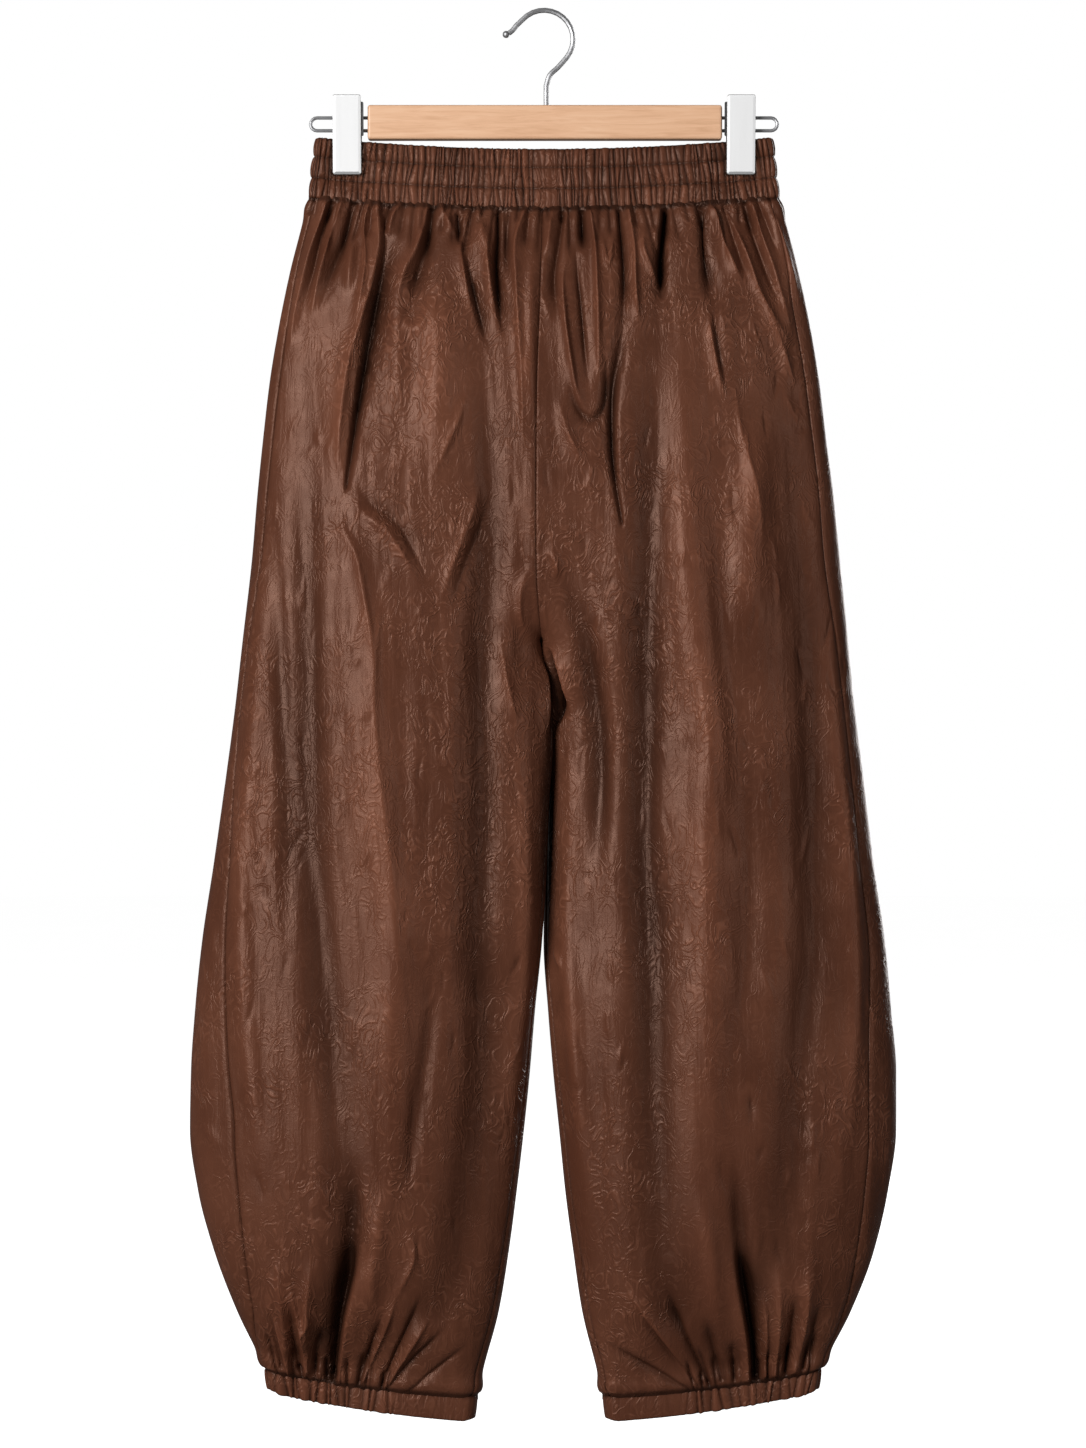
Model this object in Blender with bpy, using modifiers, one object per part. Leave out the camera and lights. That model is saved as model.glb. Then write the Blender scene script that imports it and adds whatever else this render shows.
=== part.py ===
"""Balloon trousers in faux leather, clipped to a wooden hanger with two metal clips.

Lengths are in metres, +Z is up and the front of the trousers faces -Y. The origin is the highest
point inside the hook, where a peg or a rail carries the hanger. The wearer's right is at -X.
The cloth is a wall of real thickness: a band in two halves, four leg panels and two cuffs.
"""

import math

import bmesh
import bpy
import numpy as np

MM = 0.001

# ---------------------------------------------------------------- driving sizes of the cloth
SEAM_GAP = 0.3 * MM
LEG_WALL = 1.4 * MM
BAND_WALL = 2.5 * MM
CUFF_WALL = 2.2 * MM

WAIST_SEAM_Z = -154.5 * MM  # the lower edge of the band at the centre front
BAND_HEIGHT = 47.6 * MM
WAIST_SAG = 9.2 * MM  # the clips lift both ends of the band above its middle
WAIST_SAG_END_Z = -330 * MM
BAND_TOP_HALF = 177.5 * MM
BAND_LOW_HALF = 183.0 * MM
BAND_END_ROUND = 7.0 * MM

CROTCH_Z = -489 * MM
RISE_TOP_Z = -250 * MM  # from here down the body starts to part into two legs
RISE_GROOVE = 25 * MM
RISE_GROOVE_SHARE = 0.16  # how far across a leg the pull of the crotch seam reaches
TOUCH_TOP_Z, TOUCH_FULL_Z = -495 * MM, -540 * MM  # the legs touch from here
TOUCH_FADE_Z, TOUCH_LOW_Z = -710 * MM, -770 * MM  # down to here
TOUCH_STAGGER = 9 * MM  # the right leg lies this far in front of the left one where they touch
SEAT_FULLNESS = 0.14
SEAT_Z = -345 * MM
SEAT_REACH = 150 * MM

CUFF_SEAM_Z = -1067 * MM  # at the middle of each leg
CUFF_TILT = 10.2 * MM  # the outer end of the cuff is higher than its inner end
CUFF_BOW = 3.2 * MM
CUFF_TILT_TOP_Z = -925 * MM
CUFF_HEIGHT = 18.6 * MM
CUFF_SPLAY = 1.5 * MM
CUFF_CORNER = 2.6 * MM
CUFF_DEPTH = 12.0 * MM
CUFF_NARROWING = 2.0 * MM
CUFF_END_ROUND = 10 * MM

# One row for each section through the legs, in millimetres. z is the height; the outline columns
# are x; depth is half the thickness of the hollow form; edge is how far in from the outline it
# keeps rounding, as a share of its half width; side and inseam are how far in from the outline
# each seam lies on the front.
SECTION_COLUMNS = (
    "z outer_right inner_right inner_left outer_left depth edge side_right side_left inseam".split()
)
SECTIONS = (
    (-1080, -208.0, -52.0, 46.0, 207.0, 10.5, 0.12, 2.0, 4.0, 5.0),
    (-1059, -216.6, -47.6, 41.3, 215.3, 15.0, 0.20, 2.0, 4.0, 5.0),
    (-1012, -239.5, -35.1, 29.6, 239.5, 32.0, 0.60, 16.0, 8.0, 5.0),
    (-965, -257.4, -27.3, 22.6, 257.4, 42.0, 0.82, 26.0, 15.0, 4.5),
    (-918, -269.9, -21.1, 16.4, 268.3, 47.0, 0.92, 34.0, 20.0, 4.0),
    (-871, -276.1, -15.6, 11.7, 274.6, 48.5, 0.95, 37.0, 23.0, 3.5),
    (-825, -275.3, -10.9, 7.0, 274.6, 48.5, 0.95, 32.0, 23.0, 3.0),
    (-778, -272.2, -7.0, 3.1, 270.7, 47.5, 0.95, 26.0, 19.0, 2.5),
    (-725, -266.8, -1.6, -0.4, 266.0, 46.5, 0.95, 20.0, 14.0, 2.0),
    (-663, -257.5, 2.4, 0.6, 257.0, 45.5, 0.95, 14.0, 12.5, 1.5),
    (-583, -246.3, 4.6, 2.2, 247.5, 45.0, 0.95, 7.0, 11.0, 1.0),
    (-540, -240.7, 3.2, 1.6, 242.0, 44.5, 0.95, 5.0, 10.0, 0.5),
    (-489, -235.0, -2.3, -2.3, 237.2, 44.0, 0.95, 6.0, 11.0, 0.0),
    (-427, -227.8, -6.0, -6.0, 230.9, 43.0, 0.97, 8.0, 13.0, 0.0),
    (-380, -223.9, -6.2, -6.2, 226.2, 42.0, 0.98, 8.0, 12.0, 0.0),
    (-333, -219.2, -6.0, -6.0, 220.2, 40.0, 0.98, 8.0, 11.0, 0.0),
    (-286, -213.7, -5.2, -5.2, 214.5, 37.0, 0.95, 8.0, 11.0, 0.0),
    (-240, -205.9, -3.6, -3.6, 206.7, 32.0, 0.88, 7.0, 11.0, 0.0),
    (-200, -197.6, -2.4, -2.4, 197.9, 25.5, 0.70, 5.0, 9.5, 0.0),
    (-175, -191.2, -1.8, -1.8, 191.6, 18.5, 0.40, 5.0, 8.5, 0.0),
    (-155, -186.0, -1.2, -1.2, 186.4, 10.5, 0.10, 5.0, 8.0, 0.0),
    (-143, -183.0, -1.0, -1.0, 183.0, 7.4, 0.04, 4.5, 7.0, 0.0),
)

# Heights where the rows of a leg panel lie: a zone's top and bottom, and the bands between them.
ROW_ZONES = ((-154.5, -435, 11), (-489, -535, 2), (-535, -925, 9), (-925, -1067, 6))
RISE_ROWS = (0.45, 0.75, 0.92, 0.985, 1.0)  # shares of the way from the first zone to the crotch
FRONT_COLUMNS = 18
BACK_COLUMNS = 14
TURN_WEIGHT = 14 * MM  # columns lie closer where the outline turns

# The largest folds, in millimetres: where each runs (top, middle and low point), half its width,
# and its height, which is below zero for a valley.
FOLD_COLUMNS = "face top_x top_z mid_x mid_z low_x low_z width height".split()
FOLDS = (
    ("front", -162, -154, -180, -205, -203, -290, 9, 3.0),
    ("front", -121, -158, -138, -245, -155, -372, 9, -6.5),
    ("front", -134, -172, -153, -280, -160, -400, 9, 4.5),
    ("front", -93, -165, -84, -270, -90, -400, 15, 5.0),
    ("front", -47, -190, -62, -420, -48, -740, 18, -8.0),
    ("front", -18, -160, -17, -310, -28, -480, 11, 4.5),
    ("front", -190, -364, -163, -690, -158, -1004, 15, -6.5),
    ("front", -150, -411, -108, -640, -115, -880, 18, 5.0),
    ("front", -216, -380, -230, -640, -212, -900, 13, 3.0),
    ("front", -76, -440, -74, -731, -60, -990, 13, -4.5),
    ("front", -24, -505, -27, -700, -36, -900, 12, 4.0),
    ("front", -150, -915, -153, -990, -162, -1066, 10, -8.0),
    ("front", -208, -980, -203, -1020, -196, -1062, 9, -4.5),
    ("front", -92, -975, -105, -1015, -132, -1068, 9, -4.5),
    ("front", 90, -158, 82, -470, 85, -860, 10, -9.0),
    ("front", 109, -165, 112, -480, 125, -860, 16, 6.0),
    ("front", 125, -160, 130, -240, 144, -330, 9, -5.5),
    ("front", 161, -158, 178, -210, 196, -270, 9, -4.0),
    ("front", 157, -270, 161, -396, 152, -600, 14, 4.5),
    ("front", 32, -160, 34, -240, 34, -322, 9, 4.5),
    ("front", 55, -230, 51, -350, 59, -510, 11, -5.0),
    ("front", 15, -350, 14, -480, 27, -700, 10, 5.0),
    ("front", 27, -440, 38, -530, 46, -650, 12, -4.5),
    ("front", 192, -400, 202, -610, 211, -850, 12, -5.0),
    ("front", 229, -474, 240, -640, 237, -840, 10, 3.0),
    ("front", 146, -940, 154, -1005, 161, -1064, 10, -7.0),
    ("front", 194, -980, 192, -1020, 186, -1063, 9, -4.5),
    ("front", 110, -990, 118, -1035, 127, -1069, 9, -4.5),
    ("back", -140, -158, -152, -250, -150, -395, 10, -6.0),
    ("back", -108, -160, -112, -330, -104, -560, 16, 5.5),
    ("back", -70, -160, -66, -290, -74, -470, 10, -7.0),
    ("back", -36, -160, -40, -300, -30, -450, 14, 5.0),
    ("back", -192, -330, -206, -560, -196, -880, 14, -5.5),
    ("back", -150, -430, -160, -690, -146, -960, 20, 5.5),
    ("back", -96, -520, -88, -760, -100, -1000, 14, -6.5),
    ("back", -46, -480, -50, -700, -62, -960, 14, 4.5),
    ("back", -166, -930, -164, -1000, -170, -1066, 10, -7.5),
    ("back", -112, -960, -118, -1015, -128, -1068, 9, -5.0),
    ("back", 148, -158, 158, -240, 176, -340, 10, -5.0),
    ("back", 112, -160, 120, -310, 116, -520, 15, 5.5),
    ("back", 78, -160, 74, -330, 80, -600, 11, -8.0),
    ("back", 42, -160, 46, -280, 38, -440, 13, 5.0),
    ("back", 176, -370, 196, -600, 190, -900, 14, -5.5),
    ("back", 138, -420, 146, -680, 150, -940, 19, 5.5),
    ("back", 94, -600, 86, -790, 96, -1010, 13, -6.0),
    ("back", 44, -500, 40, -700, 52, -930, 13, 4.5),
    ("back", 160, -925, 166, -1000, 164, -1065, 10, -7.5),
    ("back", 208, -975, 204, -1020, 198, -1062, 9, -4.5),
)
FOLD_END_POWER = 0.6
FOLD_FACING = (0.05, 0.6)  # folds fade where the cloth turns away from their face
SMOOTH_CLOTH = math.radians(50)  # edges sharper than this stay sharp
SMOOTH_PLEATS = math.radians(25)

# The band: three sewn channels over elastic, with pleats across them.
BAND_ROWS = (0.0, 0.14, 0.28, 0.46, 0.64, 0.82, 1.0)  # shares of its height, from the top
BAND_INNER_ROWS = (0.0, 0.28, 0.64, 1.0)
BAND_BULGE = (0.0, 1.0, -0.4, 1.0, -0.4, 1.0, 0.0)  # at each row, times CHANNEL_HEIGHT
BAND_PLEAT = (0.7, 1.0, 0.55, 1.0, 0.55, 1.0, 0.8)  # at each row, times PLEAT_HEIGHT
CHANNEL_HEIGHT = 1.2 * MM
PLEAT_HEIGHT = 1.6 * MM
BAND_CREST = (0.55, 1.0)  # the least and most of a pleat's crest
BAND_GROOVE = -0.25
BAND_UNEVEN = 0.35
BAND_OPEN_TOP = 6.5 * MM
BAND_OPEN_LOW = 8.2 * MM
FRONT_PLEATS = 61
BACK_PLEATS = 64
PLAIN_STRIP = (-3 * MM, 9.5 * MM)  # the flatter strip at the centre front
PLAIN_EDGE = 4 * MM
PLAIN_SHARE = 0.8

CUFF_PLEATS = 13  # on each face of a cuff, over its outer part
CUFF_PLEAT_HEIGHT = 1.5 * MM
CUFF_SCALLOP = 0.6 * MM  # how far a pleat reaches below the hem
CUFF_PLEATED_SHARE = 0.6
CUFF_PLEATED_FADE = (-0.06, 0.03)  # from bare to fully pleated, beside that share
CUFF_CREST = (0.5, 1.0)
CUFF_GROOVE = -0.3
CUFF_UNEVEN = 0.4
CUFF_ROWS = ((0.0, 0.6), (0.5, 1.0), (1.0, 0.7))  # share of the height, and of the pleats' height
CUFF_CORNER_FROM = 0.86
CUFF_PLAIN_COLUMNS = 7

# ---------------------------------------------------------------- driving sizes of the hanger
BAR_LEFT_X, BAR_RIGHT_X = -137.4 * MM, 138.7 * MM
BAR_TOP_Z, BAR_BOTTOM_Z = -72.6 * MM, -99.3 * MM
BAR_THICK = 13 * MM
BAR_BEVEL = 2.0 * MM
BORE_PLAY = 0.3 * MM
BORE_DEPTH = 12 * MM

RAIL_RADIUS = 1.35 * MM
RAIL_HIGH_Z, RAIL_LOW_Z = -82.0 * MM, -92.0 * MM
RAIL_TIP = 183.3 * MM

HOOK_RADIUS = 2.0 * MM
HOOK_ARC_RADIUS = 22.7 * MM
HOOK_ARC_START, HOOK_ARC_END = math.radians(-39), math.radians(138)
HOOK_SHANK_X = 1.75 * MM
HOOK_TAIL = ((-21.6, -10.0), (-24.4, -13.6), (-27.4, -16.0))
HOOK_NECK = ((10.9, -42.6), (4.6, -48.6))
HOOK_NECK_LOW_Z = -57 * MM
HOOK_ABOVE_BAR = 4 * MM  # the shank is straight to here
HOOK_BALL = (-29.6 * MM, -16.9 * MM)
HOOK_BALL_RADIUS = 2.8 * MM

CLIP_X = 153.4 * MM
CLIP_WIDTH = 22 * MM
CLIP_TIP_Z = -126.4 * MM
CLIP_TOP_Z = -65.6 * MM
CLIP_BACK_TOP_Z = -70.0 * MM
CLIP_PLATE = 1.6 * MM
CLIP_BEVEL = 0.7 * MM
CLIP_LEAN = math.radians(8.2)
JAW_HALF_GAP = 3.1 * MM
GRIPPED_DEPTH = JAW_HALF_GAP - SEAM_GAP
GRIP_FLAT = 12.5 * MM
GRIP_REACH = 30 * MM
GRIP_TOP_Z, GRIP_LOW_Z = -119 * MM, -131 * MM
GRIP_END_Z = -215 * MM  # the legs hang free of the grip from here down
GRIP_SLOPE = 0.2  # how fast the cloth widens below the clips
SADDLE_WIDTH = 16 * MM
SADDLE_TOP_Z, SADDLE_LOW_Z = -76 * MM, -98 * MM


# ---------------------------------------------------------------- small maths
def ease(low, high, value):
    """0 below low, 1 above high and smooth between; low may be the larger number."""
    t = np.clip((value - low) / (high - low), 0.0, 1.0)
    return t * t * (3 - 2 * t)


def smooth_column(table, columns, name, z):
    """A column of a table in millimetres, read at height z in metres along a smooth curve."""
    rows = np.array(sorted(table), float)
    x = rows[:, columns.index("z")] * MM
    y = rows[:, columns.index(name)]
    step = np.diff(x)
    slope = np.diff(y) / step
    tangent = np.concatenate([slope[:1], np.zeros(len(x) - 2), slope[-1:]])
    product = slope[:-1] * slope[1:]
    same = product > 0
    tangent[1:-1][same] = 2 * product[same] / (slope[:-1] + slope[1:])[same]
    z = np.clip(z, x[0], x[-1])
    i = np.clip(np.searchsorted(x, z) - 1, 0, len(step) - 1)
    t = (z - x[i]) / step[i]
    return (
        y[i] * (1 + 2 * t) * (1 - t) ** 2
        + tangent[i] * step[i] * t * (1 - t) ** 2
        + y[i + 1] * t**2 * (3 - 2 * t)
        + tangent[i + 1] * step[i] * t**2 * (t - 1)
    )


def section(name, z):
    """A length of SECTIONS at height z, in metres, or the plain share of its edge column."""
    value = smooth_column(SECTIONS, SECTION_COLUMNS, name, z)
    return value if name == "edge" else value * MM


def rounding(inset, reach):
    """A quarter ellipse's height, from 0 at the outline to 1 at reach inside it."""
    t = np.clip(inset / reach, 0.0, 1.0)
    return np.sqrt(1 - (1 - t) ** 2)


def unit(vectors):
    return vectors / np.linalg.norm(vectors, axis=-1, keepdims=True)


def along(points, measure, places):
    """The points at places along their own measure."""
    return np.stack([np.interp(places, measure, points[:, k]) for k in range(points.shape[1])], axis=1)


def measure_of(points, turn_weight):
    """The running length of a flat line of points, made longer where the line turns."""
    steps = np.diff(points, axis=0)
    lengths = np.linalg.norm(steps, axis=1)
    heading = np.unwrap(np.arctan2(steps[:, 1], steps[:, 0]))
    turn = np.abs(np.diff(heading, prepend=heading[0]))
    return np.concatenate([[0.0], np.cumsum(lengths + turn_weight * turn)])


# ---------------------------------------------------------------- how the cloth hangs
def waist_fade(s):
    return 1 - ease(WAIST_SEAM_Z, WAIST_SAG_END_Z, s)


def cuff_fade(s):
    return ease(CUFF_TILT_TOP_Z, CUFF_SEAM_Z, s)


def grip(x):
    """1 where a clip holds the cloth, fading to 0 beside it."""
    return 1 - ease(GRIP_FLAT, GRIP_REACH, np.abs(np.abs(x) - CLIP_X))


def gripped(depth, x, z):
    """Half the thickness of the waist at x and z, where its free value is depth."""
    above = np.maximum(0, z - GRIP_TOP_Z) * math.tan(CLIP_LEAN)
    below = np.maximum(0, GRIP_LOW_Z - z) * GRIP_SLOPE
    return depth + (np.minimum(depth, GRIPPED_DEPTH + above + below) - depth) * grip(x)


def fold_height(face, x, z):
    """How far the folds of one face move its cloth outwards at x and z."""
    height = np.zeros_like(x)
    for row in FOLDS:
        fold = dict(zip(FOLD_COLUMNS, row))
        if fold["face"] != face:
            continue
        top, mid, low = (fold[k] * MM for k in ("top_z", "mid_z", "low_z"))
        t = np.clip((top - z) / (top - low), 0, 1)
        m = (top - mid) / (top - low)
        line = (
            fold["top_x"] * (t - m) * (t - 1) / m
            + fold["mid_x"] * t * (t - 1) / (m * (m - 1))
            + fold["low_x"] * t * (t - m) / (1 - m)
        ) * MM
        across = np.exp(-(((x - line) / (fold["width"] * MM)) ** 2))
        height += fold["height"] * MM * across * np.sin(math.pi * t) ** FOLD_END_POWER
    return height


# ---------------------------------------------------------------- leg panels
def panel_rows():
    first, *rest = ROW_ZONES
    rows = list(np.linspace(first[0], first[1], first[2] + 1) * MM)
    start = rows[-1]
    rows += [start + share * (CROTCH_Z - start) for share in RISE_ROWS]
    for top, low, bands in rest:
        rows += list(np.linspace(top, low, bands + 1)[1:] * MM)
    return np.array(rows)


def leg_loop(side, s, samples=220):
    """The section of one leg at nominal height s: x, y, share of its width, and a guide, round the leg.

    It runs over the front from the inner edge to the outer one, and back behind. Above the crotch
    the inner edge is the centre seam, and the loop is open there. The guide is y without the pull
    of the centre seam, and spaces the columns so that they run evenly from section to section.
    """
    sign = 1 if side == "left" else -1
    outer = section("outer_" + side, s + WAIST_SAG * waist_fade(s) + CUFF_TILT * cuff_fade(s))
    inner = section("inner_" + side, s - CUFF_TILT * cuff_fade(s)) + sign * SEAM_GAP / 2
    width = abs(outer - inner)
    share = (1 - np.cos(np.linspace(0, math.pi, samples))) / 2
    x = inner + (outer - inner) * share
    edge = section("edge", s)
    rise = np.clip((RISE_TOP_Z - s) / (RISE_TOP_Z - CROTCH_Z), 0, 1)
    open_seam = math.sqrt(1 - rise**2)
    open_side = 1 - ease(RISE_TOP_Z, CROTCH_Z, s)
    near_seam = np.exp(-((share / RISE_GROOVE_SHARE) ** 2))
    open_part = open_side + (open_seam - open_side) * near_seam
    as_body = rounding((1 - share) * width, edge * width)

    def parted(opening, groove):
        inset = np.minimum(np.hypot(share, RISE_GROOVE * groove / width), 1 - share) * width
        return opening * as_body + (1 - opening) * rounding(inset, edge * width / 2)

    shape = parted(open_part, open_seam)
    guide = parted(open_side, open_side)
    hold = ease(GRIP_END_Z, WAIST_SEAM_Z, s)
    free = section("depth", s)
    depth = free + (gripped(free, x, WAIST_SEAM_Z) - free) * hold
    seat = 1 + SEAT_FULLNESS * math.exp(-(((s - SEAT_Z) / SEAT_REACH) ** 2))
    touching = ease(TOUCH_TOP_Z, TOUCH_FULL_Z, s) * ease(TOUCH_LOW_Z, TOUCH_FADE_Z, s)
    stagger = sign * TOUCH_STAGGER * touching * (1 - share) ** 3
    front = np.stack([x, stagger - depth * shape, share, -depth * guide], axis=1)
    back = np.stack([x, stagger + depth * shape * seat, share, depth * guide], axis=1)
    return np.concatenate([front, back[-2::-1]]), width


def leg_lift(x, share, s, outer):
    """How far a point lies above the nominal height of its row."""
    waist = WAIST_SAG * (x / outer) ** 2 * waist_fade(s)
    tau = 2 * share - 1
    return waist + cuff_fade(s) * (CUFF_TILT * tau - CUFF_BOW * (1 - tau**2))


def leg_grid(side):
    """Points and faces (-1 in front, 1 behind) of a whole leg, from the inseam round to itself."""
    rows = []
    for s in panel_rows():
        loop, width = leg_loop(side, s)
        samples = (len(loop) + 1) // 2
        measure = measure_of(loop[:, [0, 3]], TURN_WEIGHT)
        front_share, front_measure = loop[:samples, 2], measure[:samples]
        side_at = np.interp(1 - section("side_" + side, s) / width, front_share, front_measure)
        inseam_at = np.interp(section("inseam", s) / width, front_share, front_measure)
        full = np.concatenate([loop, loop[1:samples]])
        full_measure = np.concatenate([measure, measure[-1] + measure[1:samples]])
        places = np.concatenate(
            [
                np.linspace(inseam_at, side_at, FRONT_COLUMNS + 1),
                np.linspace(side_at, measure[-1] + inseam_at, BACK_COLUMNS + 1)[1:],
            ]
        )
        x, y, share, _ = along(full, full_measure, places).T
        outer = loop[samples - 1, 0]
        rows.append(np.stack([x, y, s + leg_lift(x, share, s, outer)], axis=1))
    return np.array(rows)


def leg_normals(grid, side, rows):
    """Outward directions of a leg grid; the centre seams face straight forward and back."""
    sign = 1 if side == "left" else -1
    upper = rows > CROTCH_Z + 1e-6
    before, after = grid[:, -2].copy(), grid[:, 1].copy()
    mirror = np.array([-1, 1, 1])
    centre = grid[:, 0] * np.array([2, 0, 0])
    before[upper] = (grid[:, 1] * mirror + centre)[upper]
    after[upper] = (grid[:, -2] * mirror + centre)[upper]
    padded = np.concatenate([before[:, None], grid, after[:, None]], axis=1)
    round_leg = padded[:, 2:] - padded[:, :-2]
    down = np.gradient(grid, axis=0)
    normals = unit(np.cross(down, round_leg) * sign)
    for column in (0, -1):
        normals[upper, column, 0] = 0
    crotch = int(np.argmin(np.abs(rows - CROTCH_Z)))
    normals[crotch, [0, -1]] = (-sign, 0, -1)
    return unit(normals)


def leg_surfaces(side):
    rows = panel_rows()
    base = leg_grid(side)
    normals = leg_normals(base, side, rows)
    faces_front = ease(*FOLD_FACING, -normals[..., 1])
    faces_back = ease(*FOLD_FACING, normals[..., 1])
    height = fold_height("front", base[..., 0], base[..., 2]) * faces_front
    height += fold_height("back", base[..., 0], base[..., 2]) * faces_back
    moved = base + normals * height[..., None]
    return moved, leg_normals(moved, side, rows), rows


def leg_panel(name, grid, normals, rows, material):
    """One panel of a leg, half a seam's gap inside each of its edges."""
    grid = grid.copy()
    below = rows <= CROTCH_Z + 1e-6
    for edge, inside in ((0, 1), (-1, -2)):
        shift = unit(grid[:, inside] - grid[:, edge]) * SEAM_GAP / 2
        at_side_seam = np.abs(grid[:, edge, 0]) > np.abs(grid[:, inside, 0])
        shift[~(below | at_side_seam)] = 0
        grid[:, edge] += shift
    grid[0, :, 2] -= SEAM_GAP / 2
    grid[-1, :, 2] += SEAM_GAP / 2
    return wall(name, grid, grid - normals * LEG_WALL, material)


# ---------------------------------------------------------------- building closed walls
def zip_rows(bm, first, second):
    """Faces between two lines of vertices, which may have different counts."""
    i = j = 0
    while i < len(first) - 1 or j < len(second) - 1:
        ahead_first = (i + 1) / (len(first) - 1)
        ahead_second = (j + 1) / (len(second) - 1)
        if math.isclose(ahead_first, ahead_second):
            bm.faces.new((first[i], first[i + 1], second[j + 1], second[j]))
            i, j = i + 1, j + 1
        elif ahead_first < ahead_second:
            bm.faces.new((first[i], first[i + 1], second[j]))
            i += 1
        else:
            bm.faces.new((first[i], second[j + 1], second[j]))
            j += 1


def wall(name, outer, inner, material, ring=False, smooth=SMOOTH_CLOTH):
    """A closed solid between an outer and an inner grid, which may differ in rows and columns."""
    bm = bmesh.new()
    skins = [[[bm.verts.new(point) for point in row] for row in grid] for grid in (outer, inner)]
    if ring:
        for skin in skins:
            for row in skin:
                row.append(row[0])
    for skin in skins:
        for upper, lower in zip(skin, skin[1:]):
            zip_rows(bm, upper, lower)
    for row in (0, -1):
        zip_rows(bm, skins[0][row], skins[1][row])
    if not ring:
        for column in (0, -1):
            zip_rows(bm, [row[column] for row in skins[0]], [row[column] for row in skins[1]])
    bmesh.ops.recalc_face_normals(bm, faces=bm.faces)
    return to_object(name, bm, material, smooth=smooth)


def to_object(name, bm, material, collection="trousers_on_hanger", smooth=SMOOTH_CLOTH):
    mesh = bpy.data.meshes.new(name)
    bm.to_mesh(mesh)
    bm.free()
    obj = bpy.data.objects.new(name, mesh)
    bpy.data.collections[collection].objects.link(obj)
    if material:
        mesh.materials.append(material)
    mesh.shade_smooth()
    mesh.set_sharp_from_angle(angle=smooth)
    return obj


# ---------------------------------------------------------------- the waistband
def band_z(x, share):
    """The height of the band at x, where share runs down it from 0 to 1."""
    half = BAND_TOP_HALF + (BAND_LOW_HALF - BAND_TOP_HALF) * share
    return WAIST_SEAM_Z + BAND_HEIGHT * (1 - share) + WAIST_SAG * (x / half) ** 2


def band_loop(share, samples=900):
    """The outer face of the band at a share of its height, without its pleats, round the waist.

    It starts at the wearer's right end, runs over the front to the left end and back behind.
    """
    half = BAND_TOP_HALF + (BAND_LOW_HALF - BAND_TOP_HALF) * share
    x = -half * np.cos(np.linspace(0, math.pi, samples))
    free = BAND_OPEN_TOP + (BAND_OPEN_LOW - BAND_OPEN_TOP) * share
    depth = gripped(free, x, band_z(x, share)) * rounding(half - np.abs(x), BAND_END_ROUND)
    return np.concatenate([np.stack([x, -depth], 1), np.stack([x, depth], 1)[-2::-1]])


def outward_of(loop):
    """Outward directions of a closed flat loop that runs with its inside on the left."""
    before = np.concatenate([loop[-2:-1], loop[:-1]])
    after = np.concatenate([loop[1:], loop[1:2]])
    heading = unit(after - before)
    return np.stack([heading[:, 1], -heading[:, 0]], axis=1)


def uneven_places(count, rng, spread):
    """count + 1 places from 0 to 1 with uneven steps between them."""
    steps = 1 + spread * rng.uniform(-1, 1, count)
    return np.concatenate([[0.0], np.cumsum(steps)]) / steps.sum()


def band_row(share, inset, places, front):
    """Points of one half of the band at places from 0 to 1 between its side seams, and their outward."""
    loop = band_loop(share)
    outward = outward_of(loop)
    length = measure_of(loop, 0)
    middle = (len(loop) - 1) // 2
    right_x = loop[0, 0] + section("side_right", WAIST_SEAM_Z)
    left_x = loop[middle, 0] - section("side_left", WAIST_SEAM_Z)
    right = np.interp(right_x, loop[:middle, 0], length[:middle])
    left = np.interp(left_x, loop[:middle, 0], length[:middle])
    start, end = (right, left) if front else (left, length[-1] + right)
    start, end = start + SEAM_GAP / 2, end - SEAM_GAP / 2
    round_twice = np.concatenate([np.column_stack([loop, outward])] * 2)[: len(loop) + middle]
    length_twice = np.concatenate([length, length[-1] + length])[: len(loop) + middle]
    found = along(round_twice, length_twice, start + places * (end - start))
    outward = unit(found[:, 2:])
    flat = found[:, :2] - inset * outward
    return np.column_stack([flat, band_z(found[:, 0], share)]), outward


def band_half(name, pleats, seed, material):
    """The front or back of the band: pleated channels outside, plain inside."""
    rng = np.random.default_rng(seed)
    front = name.endswith("front")
    places = uneven_places(2 * pleats, rng, BAND_UNEVEN)
    count = len(places)
    crest = np.where(np.arange(count) % 2, rng.uniform(*BAND_CREST, count), BAND_GROOVE)
    crest[[0, -1]] = 0
    outer = []
    for share, bulge, pleat in zip(BAND_ROWS, BAND_BULGE, BAND_PLEAT):
        row, outward = band_row(share, 0, places, front)
        plain = ease(PLAIN_STRIP[0] - PLAIN_EDGE, PLAIN_STRIP[0], row[:, 0])
        plain *= 1 - ease(PLAIN_STRIP[1], PLAIN_STRIP[1] + PLAIN_EDGE, row[:, 0])
        pleated = crest * PLEAT_HEIGHT * pleat * (1 - PLAIN_SHARE * plain * front)
        loose = 1 - grip(row[:, 0])
        row[:, :2] += outward * ((pleated + CHANNEL_HEIGHT * bulge) * loose)[:, None]
        outer.append(row)
    inner_places = np.linspace(0, 1, pleats // 2 + 1)
    inner = [band_row(share, BAND_WALL, inner_places, front)[0] for share in BAND_INNER_ROWS]
    outer[-1][:, 2] += SEAM_GAP / 2
    inner[-1][:, 2] += SEAM_GAP / 2
    return wall(name, outer, inner, material, smooth=SMOOTH_PLEATS)


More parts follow.
